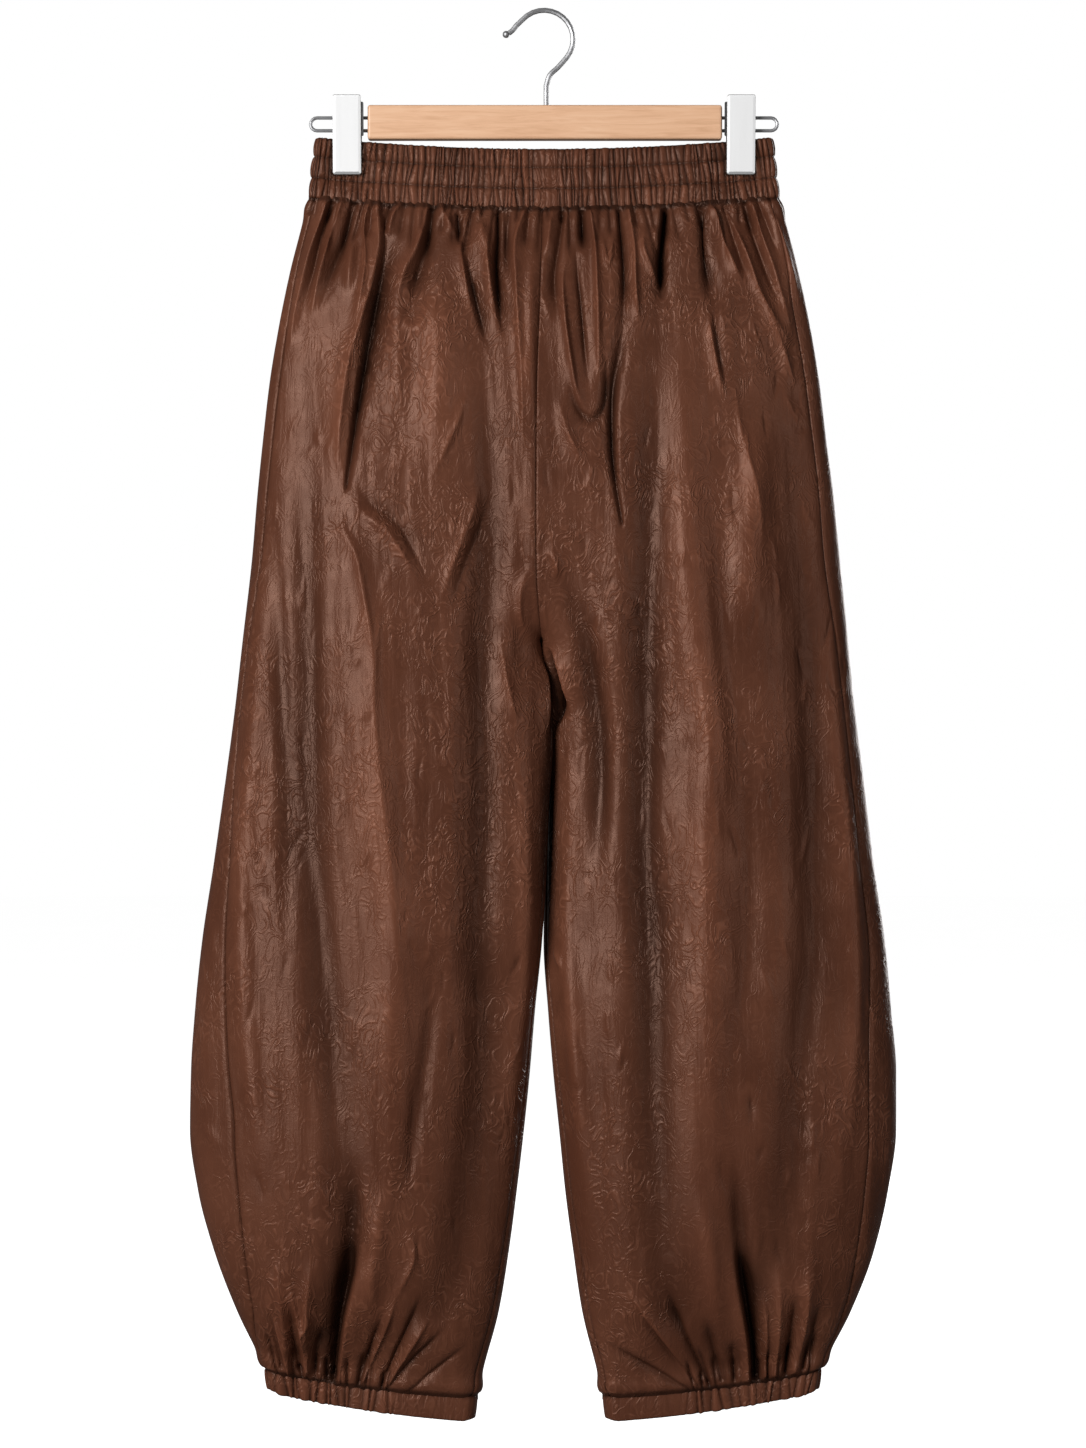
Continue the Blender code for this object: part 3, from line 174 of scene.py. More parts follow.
FRONT_FOLDS = fold_rows("""
# the wearer's right leg, from the side seam to the centre
edge 6 4 3.2 -170,-149 -181,-187 -191,-230 -200,-274
waist 4 4 -3.4 -164,-150 -172,-172 -182,-209 -190,-240
edge 4 4 3 -158,-149 -169,-187 -177,-222 -182,-246
waist 5 5 -4 -147,-150 -154,-172 -163,-196 -174,-232
edge 4 3 3.4 -135,-151 -139,-172 -137,-190 -141,-222 -148,-250
edge 7 3 3.4 -128,-153 -127,-184 -132,-211 -139,-236 -148,-268 -152,-290
edge 4 3 3 -112,-151 -118,-162 -121,-178
soft 5 5 3 -148,-170 -150,-200 -152,-224
crisp 12 5 4 -139,-236 -149,-268 -156,-319 -160,-376
tip 4 13 -8.5 -124,-152 -125,-194 -133,-236 -144,-300 -153,-371
crisp 9 4 2.6 -153,-372 -140,-391 -120,-407 -104,-432 -93,-455
crisp 3 9 -2.4 -148,-366 -135,-384 -115,-399 -99,-425 -88,-450
crisp 10 5 3.2 -158,-380 -154,-405 -144,-425 -138,-455 -132,-490 -129,-530
crisp 6 5 2.2 -46,-360 -56,-394 -71,-434 -82,-470
crisp 5 8 -2 -39,-366 -48,-400 -62,-436 -75,-478
crisp 9 4 2.2 -58,-296 -66,-322 -77,-346 -88,-370
edge 8 3 3.4 -91,-154 -96,-180 -108,-206 -114,-232
waist 4 9 -4.4 -88,-154 -91,-182 -99,-210 -102,-236
edge 3 4 2.8 -80,-153 -75,-165 -67,-176
crisp 7 8 2.6 -112,-236 -102,-250 -92,-244 -86,-222
soft 10 10 3.2 -116,-190 -114,-240 -112,-330
waist 3 3 -5 -67,-158 -66,-172 -65,-186
crisp 6 3 3.4 -68,-160 -65,-176 -63,-198 -57,-228 -50,-254
crisp 3 7 -4.4 -61,-184 -56,-214 -47,-250 -40,-268
soft 17 19 5 -84,-176 -82,-240 -84,-320 -92,-372
long 18 15 -7 -50,-225 -44,-320 -40,-400 -45,-480 -46,-560 -46,-640 -48,-720 -45,-800 -52,-880 -66,-960
    -84,-1010
waist 3 5 -6.4 -36,-157 -36,-176 -37,-200 -35,-232 -29,-262
crisp 7 3 3.6 -39,-160 -44,-184 -42,-208 -38,-232 -32,-260
waist 6 6 2.6 -50,-158 -48,-175 -47,-190
edge 3 8 3.2 -16,-158 -23,-182 -22,-212 -20,-250 -17,-300 -17,-360
waist 4 3 -3 -27,-158 -29,-185 -28,-215
soft 6 6 2.6 -9,-170 -10,-240 -9,-330
long 15 17 -6.4 -184,-280 -184,-400 -182,-520 -181,-640 -173,-720 -165,-800 -156,-880 -154,-960
soft 10 11 -3.6 -206,-400 -203,-520 -199,-640 -198,-760
soft 20 20 4.6 -154,-400 -141,-480 -138,-560 -127,-640 -114,-720 -119,-800 -120,-880 -115,-970
crisp 8 7 2.2 -118,-420 -126,-470 -130,-540 -120,-640 -110,-720
soft 8 8 -2.4 -84,-720 -89,-800 -102,-880 -112,-950
soft 9 9 3.4 -14,-500 -17,-580 -15,-640 -14,-720 -22,-820 -30,-920
soft 12 12 3.2 -212,-380 -225,-560 -234,-680 -228,-800 -214,-900 -204,-980
crisp 6 7 3 -10,-430 -18,-452 -18,-474 -10,-490
crisp 4 6 2.6 -33,-480 -31,-512 -25,-540 -18,-565
crisp 6 4 3.2 -10,-494 -1,-512 2,-540 1,-570
# the wearer's right leg above its cuff
soft 9 7 -5 -146,-880 -146,-930 -151,-980 -158,-1020
hem 14 2.5 -9 -145,-950 -148,-976 -153,-998 -158,-1022 -163,-1062
hem 2.5 12 2.6 -141,-950 -144,-976 -149,-998 -154,-1022 -159,-1062
cuff 5 6 -4.6 -196,-995 -194,-1025 -190,-1055
cuff 5 6 -4 -212,-1000 -208,-1030 -204,-1052
cuff 5 5 -4.4 -170,-1020 -176,-1040 -178,-1057
cuff 7 7 4.2 -206,-960 -202,-1015 -198,-1054
cuff 6 7 4.4 -178,-960 -184,-1015 -184,-1056
hem 3 6 -3.4 -122,-1006 -131,-1028 -138,-1048 -143,-1066
hem 2.5 5 -3 -92,-992 -104,-1018 -116,-1044 -126,-1068
hem 2.5 5 -2.4 -72,-1018 -90,-1036 -108,-1054 -120,-1069
hem 2.5 4 -1.8 -56,-1034 -72,-1046 -92,-1062 -104,-1072
hem 6 2.5 2.6 -112,-990 -120,-1016 -130,-1040 -140,-1064
hem 7 2.5 2.4 -84,-1008 -98,-1030 -112,-1052 -122,-1069
crisp 5 4 1.8 -104,-940 -100,-965 -108,-985 -118,-1004
hem 5 2 3.4 -214,-1000 -205,-1026 -198,-1057
hem 5 2 3.2 -196,-984 -191,-1010 -187,-1030 -184,-1060
crisp 5 5 2.4 -186,-1000 -182,-1016 -188,-1026 -182,-1038
soft 10 10 3.6 -122,-900 -130,-960 -138,-1030
# the wearer's left leg, from the centre to the side seam
edge 4 5 2.2 6,-158 4,-175 2,-195
crisp 5 2.6 3.4 23,-182 15,-206 16,-238 22,-282 27,-303 36,-314 43,-303
crisp 3 2.6 -3.4 24,-176 26,-206 29,-236 32,-271 35,-300
edge 2.6 5 4 36,-157 39,-179 41,-220 42,-282 43,-303
waist 5 3 -3.6 15,-158 12,-180 8,-212 12,-250
waist 4 4 -4.4 30,-157 30,-172 31,-190
crisp 8 7 2.8 10,-300 18,-330 30,-352 40,-362
crisp 4 3 -3.4 19,-282 24,-306 36,-320 47,-306 48,-262
crisp 3 3 2.8 44,-172 50,-199 54,-172
waist 3 4 -5 58,-156 60,-180 62,-215 60,-250
tip 6 5 -7 62,-240 58,-270 53,-300 53,-350 60,-400
edge 4 3 3.2 66,-157 70,-186 71,-220 75,-262
crisp 4 3 3 79,-168 77,-185 84,-204 92,-222
waist 4 3 -9.5 94,-156 92,-180 91,-210 92,-232
long 17 17 -8.2 87,-205 85,-260 84,-330 82,-400 78,-480 77,-560 75,-640 81,-720 82,-800 85,-880 89,-960
    98,-1010
soft 20 20 6.2 110,-190 109,-320 110,-400 116,-480 128,-560 125,-640 127,-720 126,-800 124,-880 114,-980
waist 5 6 -5.6 123,-154 125,-185 128,-215 126,-232
crisp 5 8 3.6 126,-226 130,-262 137,-296 143,-310
crisp 3 6 -3 130,-232 135,-268 142,-300
edge 5 4 2.8 131,-156 142,-188 158,-222
waist 4 4 -2.8 140,-153 150,-184 160,-218
edge 6 4 3 144,-160 156,-188 166,-218 180,-244 196,-268
waist 4 4 -3 155,-151 172,-200 188,-240
edge 6 4 2.6 162,-151 176,-195 194,-258
edge 5 4 2.2 176,-149 188,-190 202,-240
crisp 7 5 2.6 162,-224 176,-242 190,-278 198,-300
soft 17 18 5.4 158,-300 160,-350 158,-420 156,-500
crisp 6 6 2.2 146,-280 152,-330 164,-380 168,-430
long 18 15 -5.6 186,-270 191,-330 195,-400 203,-480 209,-560 208,-640
210,-720 200,-800 192,-880 180,-960
    172,-1010
soft 11 9 3.2 214,-400 226,-560 236,-660 241,-760 232,-880 214,-970
soft 10 10 -1.6 131,-320 132,-400 142,-500 155,-620 158,-720 146,-800 138,-900
crisp 3 8 4.6 4,-492 10,-506 15,-521 20,-540 21,-548
crisp 4 3 -10 1,-493 6,-505 10,-518 13,-532 12,-546 6,-562
soft 11 11 -6.4 14,-412 22,-450 31,-492 37,-533 41,-566 41,-640 38,-700
crisp 5 5 2.8 -2,-428 6,-424 10,-436 8,-446
soft 9 9 3.4 22,-560 20,-640 18,-720 24,-800 30,-880 40,-980
crisp 3 4 1.8 8,-728 14,-742 18,-740
# the wearer's left leg above its cuff
soft 7 8 -4.4 146,-880 150,-930 154,-980 158,-1020
hem 3 11 -8 148,-950 152,-980 157,-1010 161,-1036 163,-1062
hem 10 2.5 2.6 144,-950 148,-980 153,-1010 157,-1036 159,-1062
hem 8 3 3 168,-990 172,-1020 172,-1060
cuff 5 6 -4.6 196,-990 192,-1025 187,-1058
cuff 5 5 -4 214,-1000 208,-1030 201,-1054
cuff 5 5 -4.2 124,-1010 132,-1040 138,-1064
cuff 5 5 -3.6 146,-1030 147,-1048 148,-1063
cuff 7 7 4.2 180,-960 182,-1015 179,-1058
cuff 7 7 4.2 204,-960 202,-1015 195,-1056
hem 5 2.5 -2.8 44,-1032 70,-1047 98,-1063 112,-1071
hem 5 2.5 -3.2 92,-985 106,-1020 120,-1050 128,-1067
hem 5 2.5 -2.6 70,-1006 88,-1030 108,-1054 120,-1069
hem 2.5 7 2.4 60,-985 78,-1012 100,-1042 116,-1068
soft 10 10 3.4 120,-900 128,-970 134,-1040
""")
BACK_FOLDS = fold_rows("""
# the wearer's right leg, from the side to the centre
waist 6 7 -4.4 -172,-149 -180,-190 -188,-260
edge 6 8 3 -160,-150 -168,-200 -172,-270
waist 7 9 -6.6 -140,-151 -150,-210 -154,-300 -150,-400
soft 14 16 5 -122,-170 -128,-260 -126,-380 -116,-500
waist 5 6 -4.4 -104,-154 -106,-190 -100,-240
edge 4 8 2.8 -90,-155 -92,-200 -86,-260 -84,-300
waist 8 9 -8.6 -70,-156 -66,-220 -66,-300 -72,-400 -74,-480
soft 12 12 4.6 -44,-172 -42,-260 -36,-360 -30,-450
waist 4 5 -3.4 -28,-158 -26,-190 -22,-230
edge 4 6 2.4 -14,-158 -16,-200 -13,-260
crisp 6 8 2.6 -108,-300 -96,-360 -86,-410 -70,-450
crisp 6 8 2.4 -174,-300 -166,-360 -160,-430
soft 12 13 -5.6 -192,-320 -204,-460 -206,-620 -198,-780 -190,-880
soft 18 18 5.4 -152,-400 -160,-540 -160,-700 -150,-860 -144,-960
soft 13 14 -6.2 -100,-470 -90,-600 -86,-740 -92,-880 -100,-1000
soft 14 14 4.6 -50,-470 -50,-600 -52,-740 -62,-900
crisp 7 9 2.4 -128,-520 -120,-600 -122,-690 -130,-760
soft 10 10 -3.8 -26,-560 -30,-680 -40,-820 -48,-940
soft 14 14 3.4 -226,-560 -236,-700 -238,-840
# the wearer's right leg above its cuff
cuff 8 9 -9 -164,-890 -166,-960 -168,-1010 -170,-1061
cuff 6 6 -5.2 -196,-990 -194,-1025 -191,-1056
cuff 5 6 -4.4 -146,-1000 -148,-1030 -150,-1062
cuff 7 8 4.2 -184,-970 -184,-1015 -182,-1058
cuff 7 8 4 -132,-960 -138,-1010 -140,-1062
hem 5 8 -4.4 -96,-980 -108,-1020 -124,-1054 -130,-1067
hem 5 8 -3.4 -64,-1020 -84,-1042 -108,-1064
# the wearer's left leg, from the centre to the side
edge 6 4 2.6 16,-158 19,-200 16,-262
waist 6 6 -4.6 32,-158 33,-200 28,-270 24,-330
soft 12 13 4.8 52,-172 54,-280 46,-380 38,-450
waist 8 9 -9.6 78,-156 76,-220 74,-320 78,-440 80,-540
edge 8 4 2.8 92,-155 96,-210 98,-280
soft 15 16 5.4 112,-170 120,-270 120,-400 116,-520
waist 5 6 -5 134,-152 140,-200 148,-262
waist 6 7 -5.4 150,-150 160,-220 172,-300 176,-350
edge 7 5 2.8 164,-149 176,-200 188,-270
crisp 8 5 2.6 92,-320 104,-380 118,-430 128,-480
crisp 6 6 2.2 150,-330 156,-390 166,-440
soft 13 14 -5.6 180,-360 194,-500 198,-640 196,-800 188,-900
soft 18 18 5.4 140,-420 146,-560 148,-700 150,-840 150,-940
soft 13 13 -6 96,-560 88,-680 86,-800 90,-920 97,-1010
soft 13 13 4.6 46,-480 42,-600 42,-720 52,-900
crisp 9 7 2.4 118,-500 126,-590 122,-680 112,-740
soft 10 10 -3.6 22,-560 24,-680 32,-820 42,-940
soft 14 14 3.4 228,-540 238,-700 240,-840
# the wearer's left leg above its cuff
cuff 8 9 -9 160,-890 164,-960 166,-1010 164,-1061
cuff 6 6 -5 208,-990 204,-1025 198,-1056
cuff 5 6 -4.6 184,-1000 184,-1030 182,-1058
cuff 7 8 4.2 194,-970 194,-1015 190,-1058
cuff 7 8 4 136,-960 140,-1010 144,-1062
hem 8 5 -4.4 98,-985 110,-1022 124,-1054 128,-1067
hem 8 5 -3.4 60,-1022 82,-1044 106,-1065
""")


# ---------------------------------------------------------------- small maths
def ease(low, high, value):
    """0 below low, 1 above high and smooth between; low may be the larger number."""
    t = np.clip((value - low) / (high - low), 0.0, 1.0)
    return t * t * (3 - 2 * t)


def section(name, z):
    """A length of SECTIONS at height z on a smooth curve, in metres, or the plain share of its edge."""
    rows = np.array(sorted(SECTIONS), float)
    x = rows[:, SECTION_COLUMNS.index("z")] * MM
    y = rows[:, SECTION_COLUMNS.index(name)]
    step = np.diff(x)
    slope = np.diff(y) / step
    tangent = np.concatenate([slope[:1], np.zeros(len(x) - 2), slope[-1:]])
    product = slope[:-1] * slope[1:]
    same = product > 0
    tangent[1:-1][same] = 2 * product[same] / (slope[:-1] + slope[1:])[same]
    z = np.clip(z, x[0], x[-1])
    i = np.clip(np.searchsorted(x, z) - 1, 0, len(step) - 1)
    t = (z - x[i]) / step[i]
    value = (
        y[i] * (1 + 2 * t) * (1 - t) ** 2
        + tangent[i] * step[i] * t * (1 - t) ** 2
        + y[i + 1] * t**2 * (3 - 2 * t)
        + tangent[i + 1] * step[i] * t**2 * (t - 1)
    )
    return value if name == "edge" else value * MM


def bell(offset, reach):
    return np.exp(-((offset / reach) ** 2))


def rounding(inset, reach):
    """A quarter ellipse's height, from 0 at the outline to 1 at reach inside it."""
    t = np.clip(inset / reach, 0.0, 1.0)
    return np.sqrt(1 - (1 - t) ** 2)


def unit(vectors):
    return vectors / np.linalg.norm(vectors, axis=-1, keepdims=True)


def along(points, measure, places):
    """The points at places along their own measure."""
    return np.stack([np.interp(places, measure, points[:, k]) for k in range(points.shape[1])], axis=1)


def measure_of(points, turn_weight):
    """The running length of a flat line of points, made longer where the line turns."""
    steps = np.diff(points, axis=0)
    lengths = np.linalg.norm(steps, axis=1)
    heading = np.unwrap(np.arctan2(steps[:, 1], steps[:, 0]))
    turn = np.abs(np.diff(heading, prepend=heading[0]))
    return np.concatenate([[0.0], np.cumsum(lengths + turn_weight * turn)])


def smooth_path(points, steps):
    """A curve through every point, with the same number of steps between each pair."""
    points = np.array(points, float)
    ends = np.concatenate([[2 * points[0] - points[1]], points, [2 * points[-1] - points[-2]]])
    path = []
    for a, b, c, d in zip(ends, ends[1:], ends[2:], ends[3:]):
        square = 2 * a - 5 * b + 4 * c - d
        cube = 3 * b - a - 3 * c + d
        for t in np.linspace(0, 1, steps, endpoint=False):
            path.append((2 * b + (c - a) * t + square * t**2 + cube * t**3) / 2)
    return np.array(path + [points[-1]])


LATTICE = 64


def soft_noise(x, z, size_x, size_z, seed):
    """Smooth noise from -1 to 1 whose features are about size_x wide and size_z high."""
    lattice = np.random.default_rng(seed).uniform(-1, 1, (LATTICE, LATTICE))
    u, v = x / size_x, z / size_z
    i, j = np.floor(u).astype(int), np.floor(v).astype(int)
    s, t = ease(0, 1, u - i), ease(0, 1, v - j)

    def corner(a, b):
        return lattice[(i + a) % LATTICE, (j + b) % LATTICE]

    near = corner(0, 0) * (1 - s) + corner(1, 0) * s
    return near * (1 - t) + (corner(0, 1) * (1 - s) + corner(1, 1) * s) * t


# ---------------------------------------------------------------- how the cloth hangs
def waist_fade(s):
    return 1 - ease(WAIST_SEAM_Z, WAIST_SAG_END_Z, s)


def cuff_fade(s):
    return ease(CUFF_TILT_TOP_Z, CUFF_SEAM_Z, s)


def grip(x):
    """1 where a clip holds the cloth, fading to 0 beside it."""
    return 1 - ease(GRIP_FLAT, GRIP_REACH, np.abs(np.abs(x) - CLIP_X))


def gripped(depth, x, z):
    """Half the thickness of the waist at x and z, where its free value is depth."""
    above = np.maximum(0, z - GRIP_TOP_Z) * math.tan(CLIP_LEAN)
    below = np.maximum(0, GRIP_LOW_Z - z) * GRIP_SPREAD
    return depth + (np.minimum(depth, GRIPPED_DEPTH + above + below) - depth) * grip(x)


PATH_STEPS = 5  # between two points of a fold
FOLD_REACH = 2.6  # how far a fold is worked out beside its path, in half widths
FOLD_FADE = 0.4  # the share of its run over which it starts or ends


def fold_relief(folds, x, z):
    """How far a table of folds moves the cloth at x and z outwards, and the shade or highlight painted
    where it goes in or out.
    """
    height, shade = np.zeros_like(x), np.zeros_like(x)
    for row in folds:
        fold = dict(zip(FOLD_COLUMNS, row))
        style = dict(zip(STYLE_COLUMNS, STYLES[fold["style"]]))
        path = smooth_path(fold["path"], PATH_STEPS) * MM
        widest = max(fold["right"], fold["left"]) * MM * max(1, style["wide_top"], style["wide_low"])
        low, high = path.min(axis=0) - FOLD_REACH * widest, path.max(axis=0) + FOLD_REACH * widest
        near = np.nonzero((x > low[0]) & (x < high[0]) & (z > low[1]) & (z < high[1]))
        if not len(near[0]):
            continue
        place = np.stack([x[near], z[near]], axis=1)[:, None]
        start, step = path[None, :-1], np.diff(path, axis=0)[None]
        length = np.linalg.norm(step, axis=2)
        share = np.clip(((place - start) * step).sum(axis=2) / length**2, 0, 1)
        offset = place - start - share[..., None] * step
        distance = np.linalg.norm(offset, axis=2)
        best = distance.argmin(axis=1)
        pick = (np.arange(len(best)), best)
        gone = np.cumsum(length[0]) - length[0]
        run = (gone[best] + share[pick] * length[0][best]) / length.sum()
        side = step[0, best, 0] * offset[pick][:, 1] - step[0, best, 1] * offset[pick][:, 0]
        width = np.where(side > 0, fold["left"], fold["right"]) * MM
        width = width * (style["wide_top"] + (style["wide_low"] - style["wide_top"]) * run)
        top = style["high_top"] + (1 - style["high_top"]) * ease(0, FOLD_FADE, run)
        end = style["high_low"] + (1 - style["high_low"]) * ease(1, 1 - FOLD_FADE, run)
        across = np.exp(-((distance[pick] / width) ** style["power"]))
        moved = fold["height"] * style["gain"] * MM * across * top * end
        height[near] += moved
        # painted shade in a valley and painted highlight on a ridge, in step with its height
        shade[near] += moved * style["shade"]
    return height, shade


# ---------------------------------------------------------------- leg panels
LEG_ROWS = 400
FRONT_COLUMNS, BACK_COLUMNS = 230, 130
# Short folds that are drawn by lot, in millimetres: how many there are on a face or on a hem, and the
# ranges of their length, half width, unevenness (one half width as a share of the other) and height.
GATHER_COLUMNS = "count style lean length width uneven height".split()
WAIST_GATHERS = (46, "waist", 0.14, (12, 52), (1.8, 3.6), (0.7, 1.3), (-3.2, -1.2))
HEM_GATHERS = (15, "hem", 0.1, (12, 40), (1.6, 3.2), (0.8, 1.4), (-3.0, -1.2))
GATHER_START = 1  # how far beyond the seam they start
GATHER_JITTER = 0.3  # how far a gather strays from its place, as a share of their spacing
WAIST_FAN, HEM_FAN = 0.3, 0.5  # how gathers lean apart from the middle
HEM_UPRIGHT = 0.55  # where along a hem they stand upright
HEM_GATHERED = (0.42, 0.98)  # where a hem is gathered, as shares of the way from its inner end
CREASE_COUNT = 260
CREASE_Z, CREASE_TURN_Z = (-1030, -190), -870  # where creases lie, and where they turn inwards
CREASE_SIDE = 8  # how far they keep from the outline
CREASE_LENGTH, CREASE_WIDTH = (8, 42), (1.6, 4.0)
CREASE_UNEVEN, CREASE_HEIGHT = (0.4, 1.6), (0.25, 0.9)
CREASE_SPREAD, CREASE_FAN, CREASE_BEND = 0.22, 0.001, 0.12


def gather(rng, kind, x, z, lean, rise, side=1):
    """A short fold that starts at x and z and runs up or down, as a row of a table of folds."""
    kind = dict(zip(GATHER_COLUMNS, kind))
    length = rng.uniform(*kind["length"])
    lean += rng.uniform(-kind["lean"], kind["lean"])
    shares = (0, 0.5, 1) if rise < 0 else (1, 0.5, 0)
    path = [(side * (x + lean * length * t), z + rise * length * t) for t in shares]
    width = rng.uniform(*kind["width"])
    other = width * rng.uniform(*kind["uneven"])
    return (kind["style"], width, other, rng.uniform(*kind["height"]), path)


def crease(rng):
    """A short crinkle anywhere on a face, as a row of a table of folds."""
    z = rng.uniform(*CREASE_Z)
    x = rng.uniform(-1, 1) * (abs(section("outer_left", z * MM)) / MM - CREASE_SIDE)
    length = rng.uniform(*CREASE_LENGTH)
    angle = rng.normal(0, CREASE_SPREAD) + CREASE_FAN * x * (1 if z > CREASE_TURN_Z else -1)
    bend = rng.uniform(-CREASE_BEND, CREASE_BEND) * length
    dx, dz = math.sin(angle) * length / 2, -math.cos(angle) * length / 2
    width = rng.uniform(*CREASE_WIDTH)
    height = rng.choice((-1, 1)) * rng.uniform(*CREASE_HEIGHT)
    path = [(x - dx, z - dz), (x + bend, z), (x + dx, z + dz)]
    return ("crisp", width, width * rng.uniform(*CREASE_UNEVEN), height, path)


def cuff_line(tau):
    """How far the cuff seam lies from its middle height, where tau runs from -1 inside to 1 outside."""
    return CUFF_TILT * tau - CUFF_BOW * (1 - tau**2)


def small_folds(seed):
    """Short gathers below the waist and above the cuffs of a face, and crinkles between them."""
    rng = np.random.default_rng(seed)
    folds = []
    half = section("outer_left", WAIST_SEAM_Z) / MM
    count = WAIST_GATHERS[0]
    for i in range(count):
        x = -half + 2 * half / count * (i + 0.5 + rng.uniform(-GATHER_JITTER, GATHER_JITTER))
        z = (WAIST_SEAM_Z + WAIST_SAG * (x / half) ** 2) / MM + GATHER_START
        folds.append(gather(rng, WAIST_GATHERS, x, z, WAIST_FAN * x / half, -1))
    count = HEM_GATHERS[0]
    for side, name in ((-1, "right"), (1, "left")):
        inner, outer = (abs(section(edge + name, CUFF_SEAM_Z)) / MM for edge in ("inner_", "outer_"))
        first, last = HEM_GATHERED
        for i in range(count):
            share = (i + 0.5 + rng.uniform(-GATHER_JITTER, GATHER_JITTER)) / count
            across = first + (last - first) * share
            x = inner + (outer - inner) * across
            z = (CUFF_SEAM_Z + cuff_line(2 * across - 1)) / MM - GATHER_START
            lean = HEM_FAN * (share - HEM_UPRIGHT)
            folds.append(gather(rng, HEM_GATHERS, x, z, lean, 1, side))
    return folds + [crease(rng) for _ in range(CREASE_COUNT)]


def leg_loop(side, s, samples=400):
    """The section of one leg at nominal height s: x, y, share of its width, and a guide for y."""
    sign = 1 if side == "left" else -1
    outer = section("outer_" + side, s + WAIST_SAG * waist_fade(s) + CUFF_TILT * cuff_fade(s))
    full, fading, ended = CROTCH_LAP_Z
    lap = CROTCH_LAP * ease(CROTCH_Z, full, s) * ease(ended, fading, s)
    lap += CROTCH_FIRST_LAP * ease(*CROTCH_FIRST_LAP_Z, s) * ease(full, CROTCH_Z, s)
    inner = section("inner_" + side, s - CUFF_TILT * cuff_fade(s))
    width = abs(outer - inner)
    share = (1 - np.cos(np.linspace(0, math.pi, samples))) / 2
    x = inner + (outer - inner) * share - sign * lap * np.exp(-share * width / CROTCH_LAP_REACH)
    edge = section("edge", s)
    rise = np.clip((RISE_TOP_Z - s) / (RISE_TOP_Z - CROTCH_Z), 0, 1)
    open_seam = math.sqrt(1 - rise**2)
    open_side = 1 - ease(RISE_TOP_Z, CROTCH_Z, s)
    open_part = open_side + (open_seam - open_side) * bell(share, RISE_GROOVE_SHARE)
    as_body = rounding((1 - share) * width, edge * width)

    def parted(opening, groove):
        inset = np.minimum(np.hypot(share, RISE_GROOVE * groove / width), 1 - share) * width
        return opening * as_body + (1 - opening) * rounding(inset, edge * width / 2)

    shape = parted(open_part, open_seam)
    guide = parted(open_side, open_side)
    hold = ease(GRIP_END_Z, WAIST_SEAM_Z, s)
    free = section("depth", s)
    depth = free + (gripped(free, x, WAIST_SEAM_Z) - free) * hold
    seat = 1 + SEAT_FULLNESS * bell(s - SEAT_Z, SEAT_REACH)
    touching = ease(TOUCH_TOP_Z, TOUCH_FULL_Z, s) * ease(TOUCH_LOW_Z, TOUCH_LOW_Z + TOUCH_FADE, s)
    stagger = sign * TOUCH_STAGGER * touching * (1 - share) ** 3
    front = np.stack([x, stagger - depth * shape, share, -depth * guide], axis=1)
    back = np.stack([x, stagger + depth * shape * seat, share, depth * guide], axis=1)
    return np.concatenate([front, back[-2::-1]]), width


def leg_lift(x, share, s, outer):
    """How far a point lies above the nominal height of its row."""
    return WAIST_SAG * (x / outer) ** 2 * waist_fade(s) + cuff_fade(s) * cuff_line(2 * share - 1)


# Where the rows lie closer together: height, reach and how many more there are.
CLOSER_ROWS = ((WAIST_SEAM_Z, 40 * MM, 1.2), (CUFF_SEAM_Z, 40 * MM, 1.0), (CROTCH_Z, 25 * MM, 0.8))


def leg_rows():
    """Heights of the rows, closer together near both gathered ends and at the crotch."""
    s = np.linspace(WAIST_SEAM_Z, CUFF_SEAM_Z, 4000)
    density = 1 + sum(more * bell(s - z, reach) for z, reach, more in CLOSER_ROWS)
    total = np.cumsum(density)
    rows = np.interp(np.linspace(total[0], total[-1], LEG_ROWS), total, s)
    rows[np.argmin(np.abs(rows - CROTCH_Z))] = CROTCH_Z
    return rows


def leg_grid(side, rows):
    """Points of a whole leg, from the inseam round to itself, over the front first."""
    grid = []
    for s in rows:
        loop, width = leg_loop(side, s)
        samples = (len(loop) + 1) // 2
        measure = measure_of(loop[:, [0, 3]], TURN_WEIGHT)
        front_share, front_measure = loop[:samples, 2], measure[:samples]
        side_at = np.interp(1 - section("side_" + side, s) / width, front_share, front_measure)
        inseam_at = np.interp(section("inseam", s) / width, front_share, front_measure)
        full = np.concatenate([loop, loop[1:samples]])
        full_measure = np.concatenate([measure, measure[-1] + measure[1:samples]])
        places = np.concatenate(
            [
                np.linspace(inseam_at, side_at, FRONT_COLUMNS + 1),
                np.linspace(side_at, measure[-1] + inseam_at, BACK_COLUMNS + 1)[1:],
            ]
        )
        x, y, share, _ = along(full, full_measure, places).T
        outer = loop[samples - 1, 0]
        grid.append(np.stack([x, y, s + leg_lift(x, share, s, outer)], axis=1))
    return np.array(grid)


def leg_normals(grid, side, rows):
    """Outward directions of a leg grid; the centre seams face straight forward and back."""
    sign = 1 if side == "left" else -1
    upper = rows > CROTCH_Z + 1e-6
    before, after = grid[:, -2].copy(), grid[:, 1].copy()
    mirror = np.array([-1, 1, 1])
    centre = grid[:, 0] * np.array([2, 0, 0])
    before[upper] = (grid[:, 1] * mirror + centre)[upper]
    after[upper] = (grid[:, -2] * mirror + centre)[upper]
    padded = np.concatenate([before[:, None], grid, after[:, None]], axis=1)
    round_leg = padded[:, 2:] - padded[:, :-2]
    down = np.gradient(grid, axis=0)
    normals = unit(np.cross(down, round_leg) * sign)
    for column in (0, -1):
        normals[upper, column, 0] = 0
    crotch = int(np.argmin(np.abs(rows - CROTCH_Z)))
    normals[crotch, [0, -1]] = (-sign, 0, -1)
    return unit(normals)


CROTCH_SOFTENING = 12 * MM
CROTCH_SOFT_REACH = 70 * MM
INSEAM_KEPT = 6 * MM


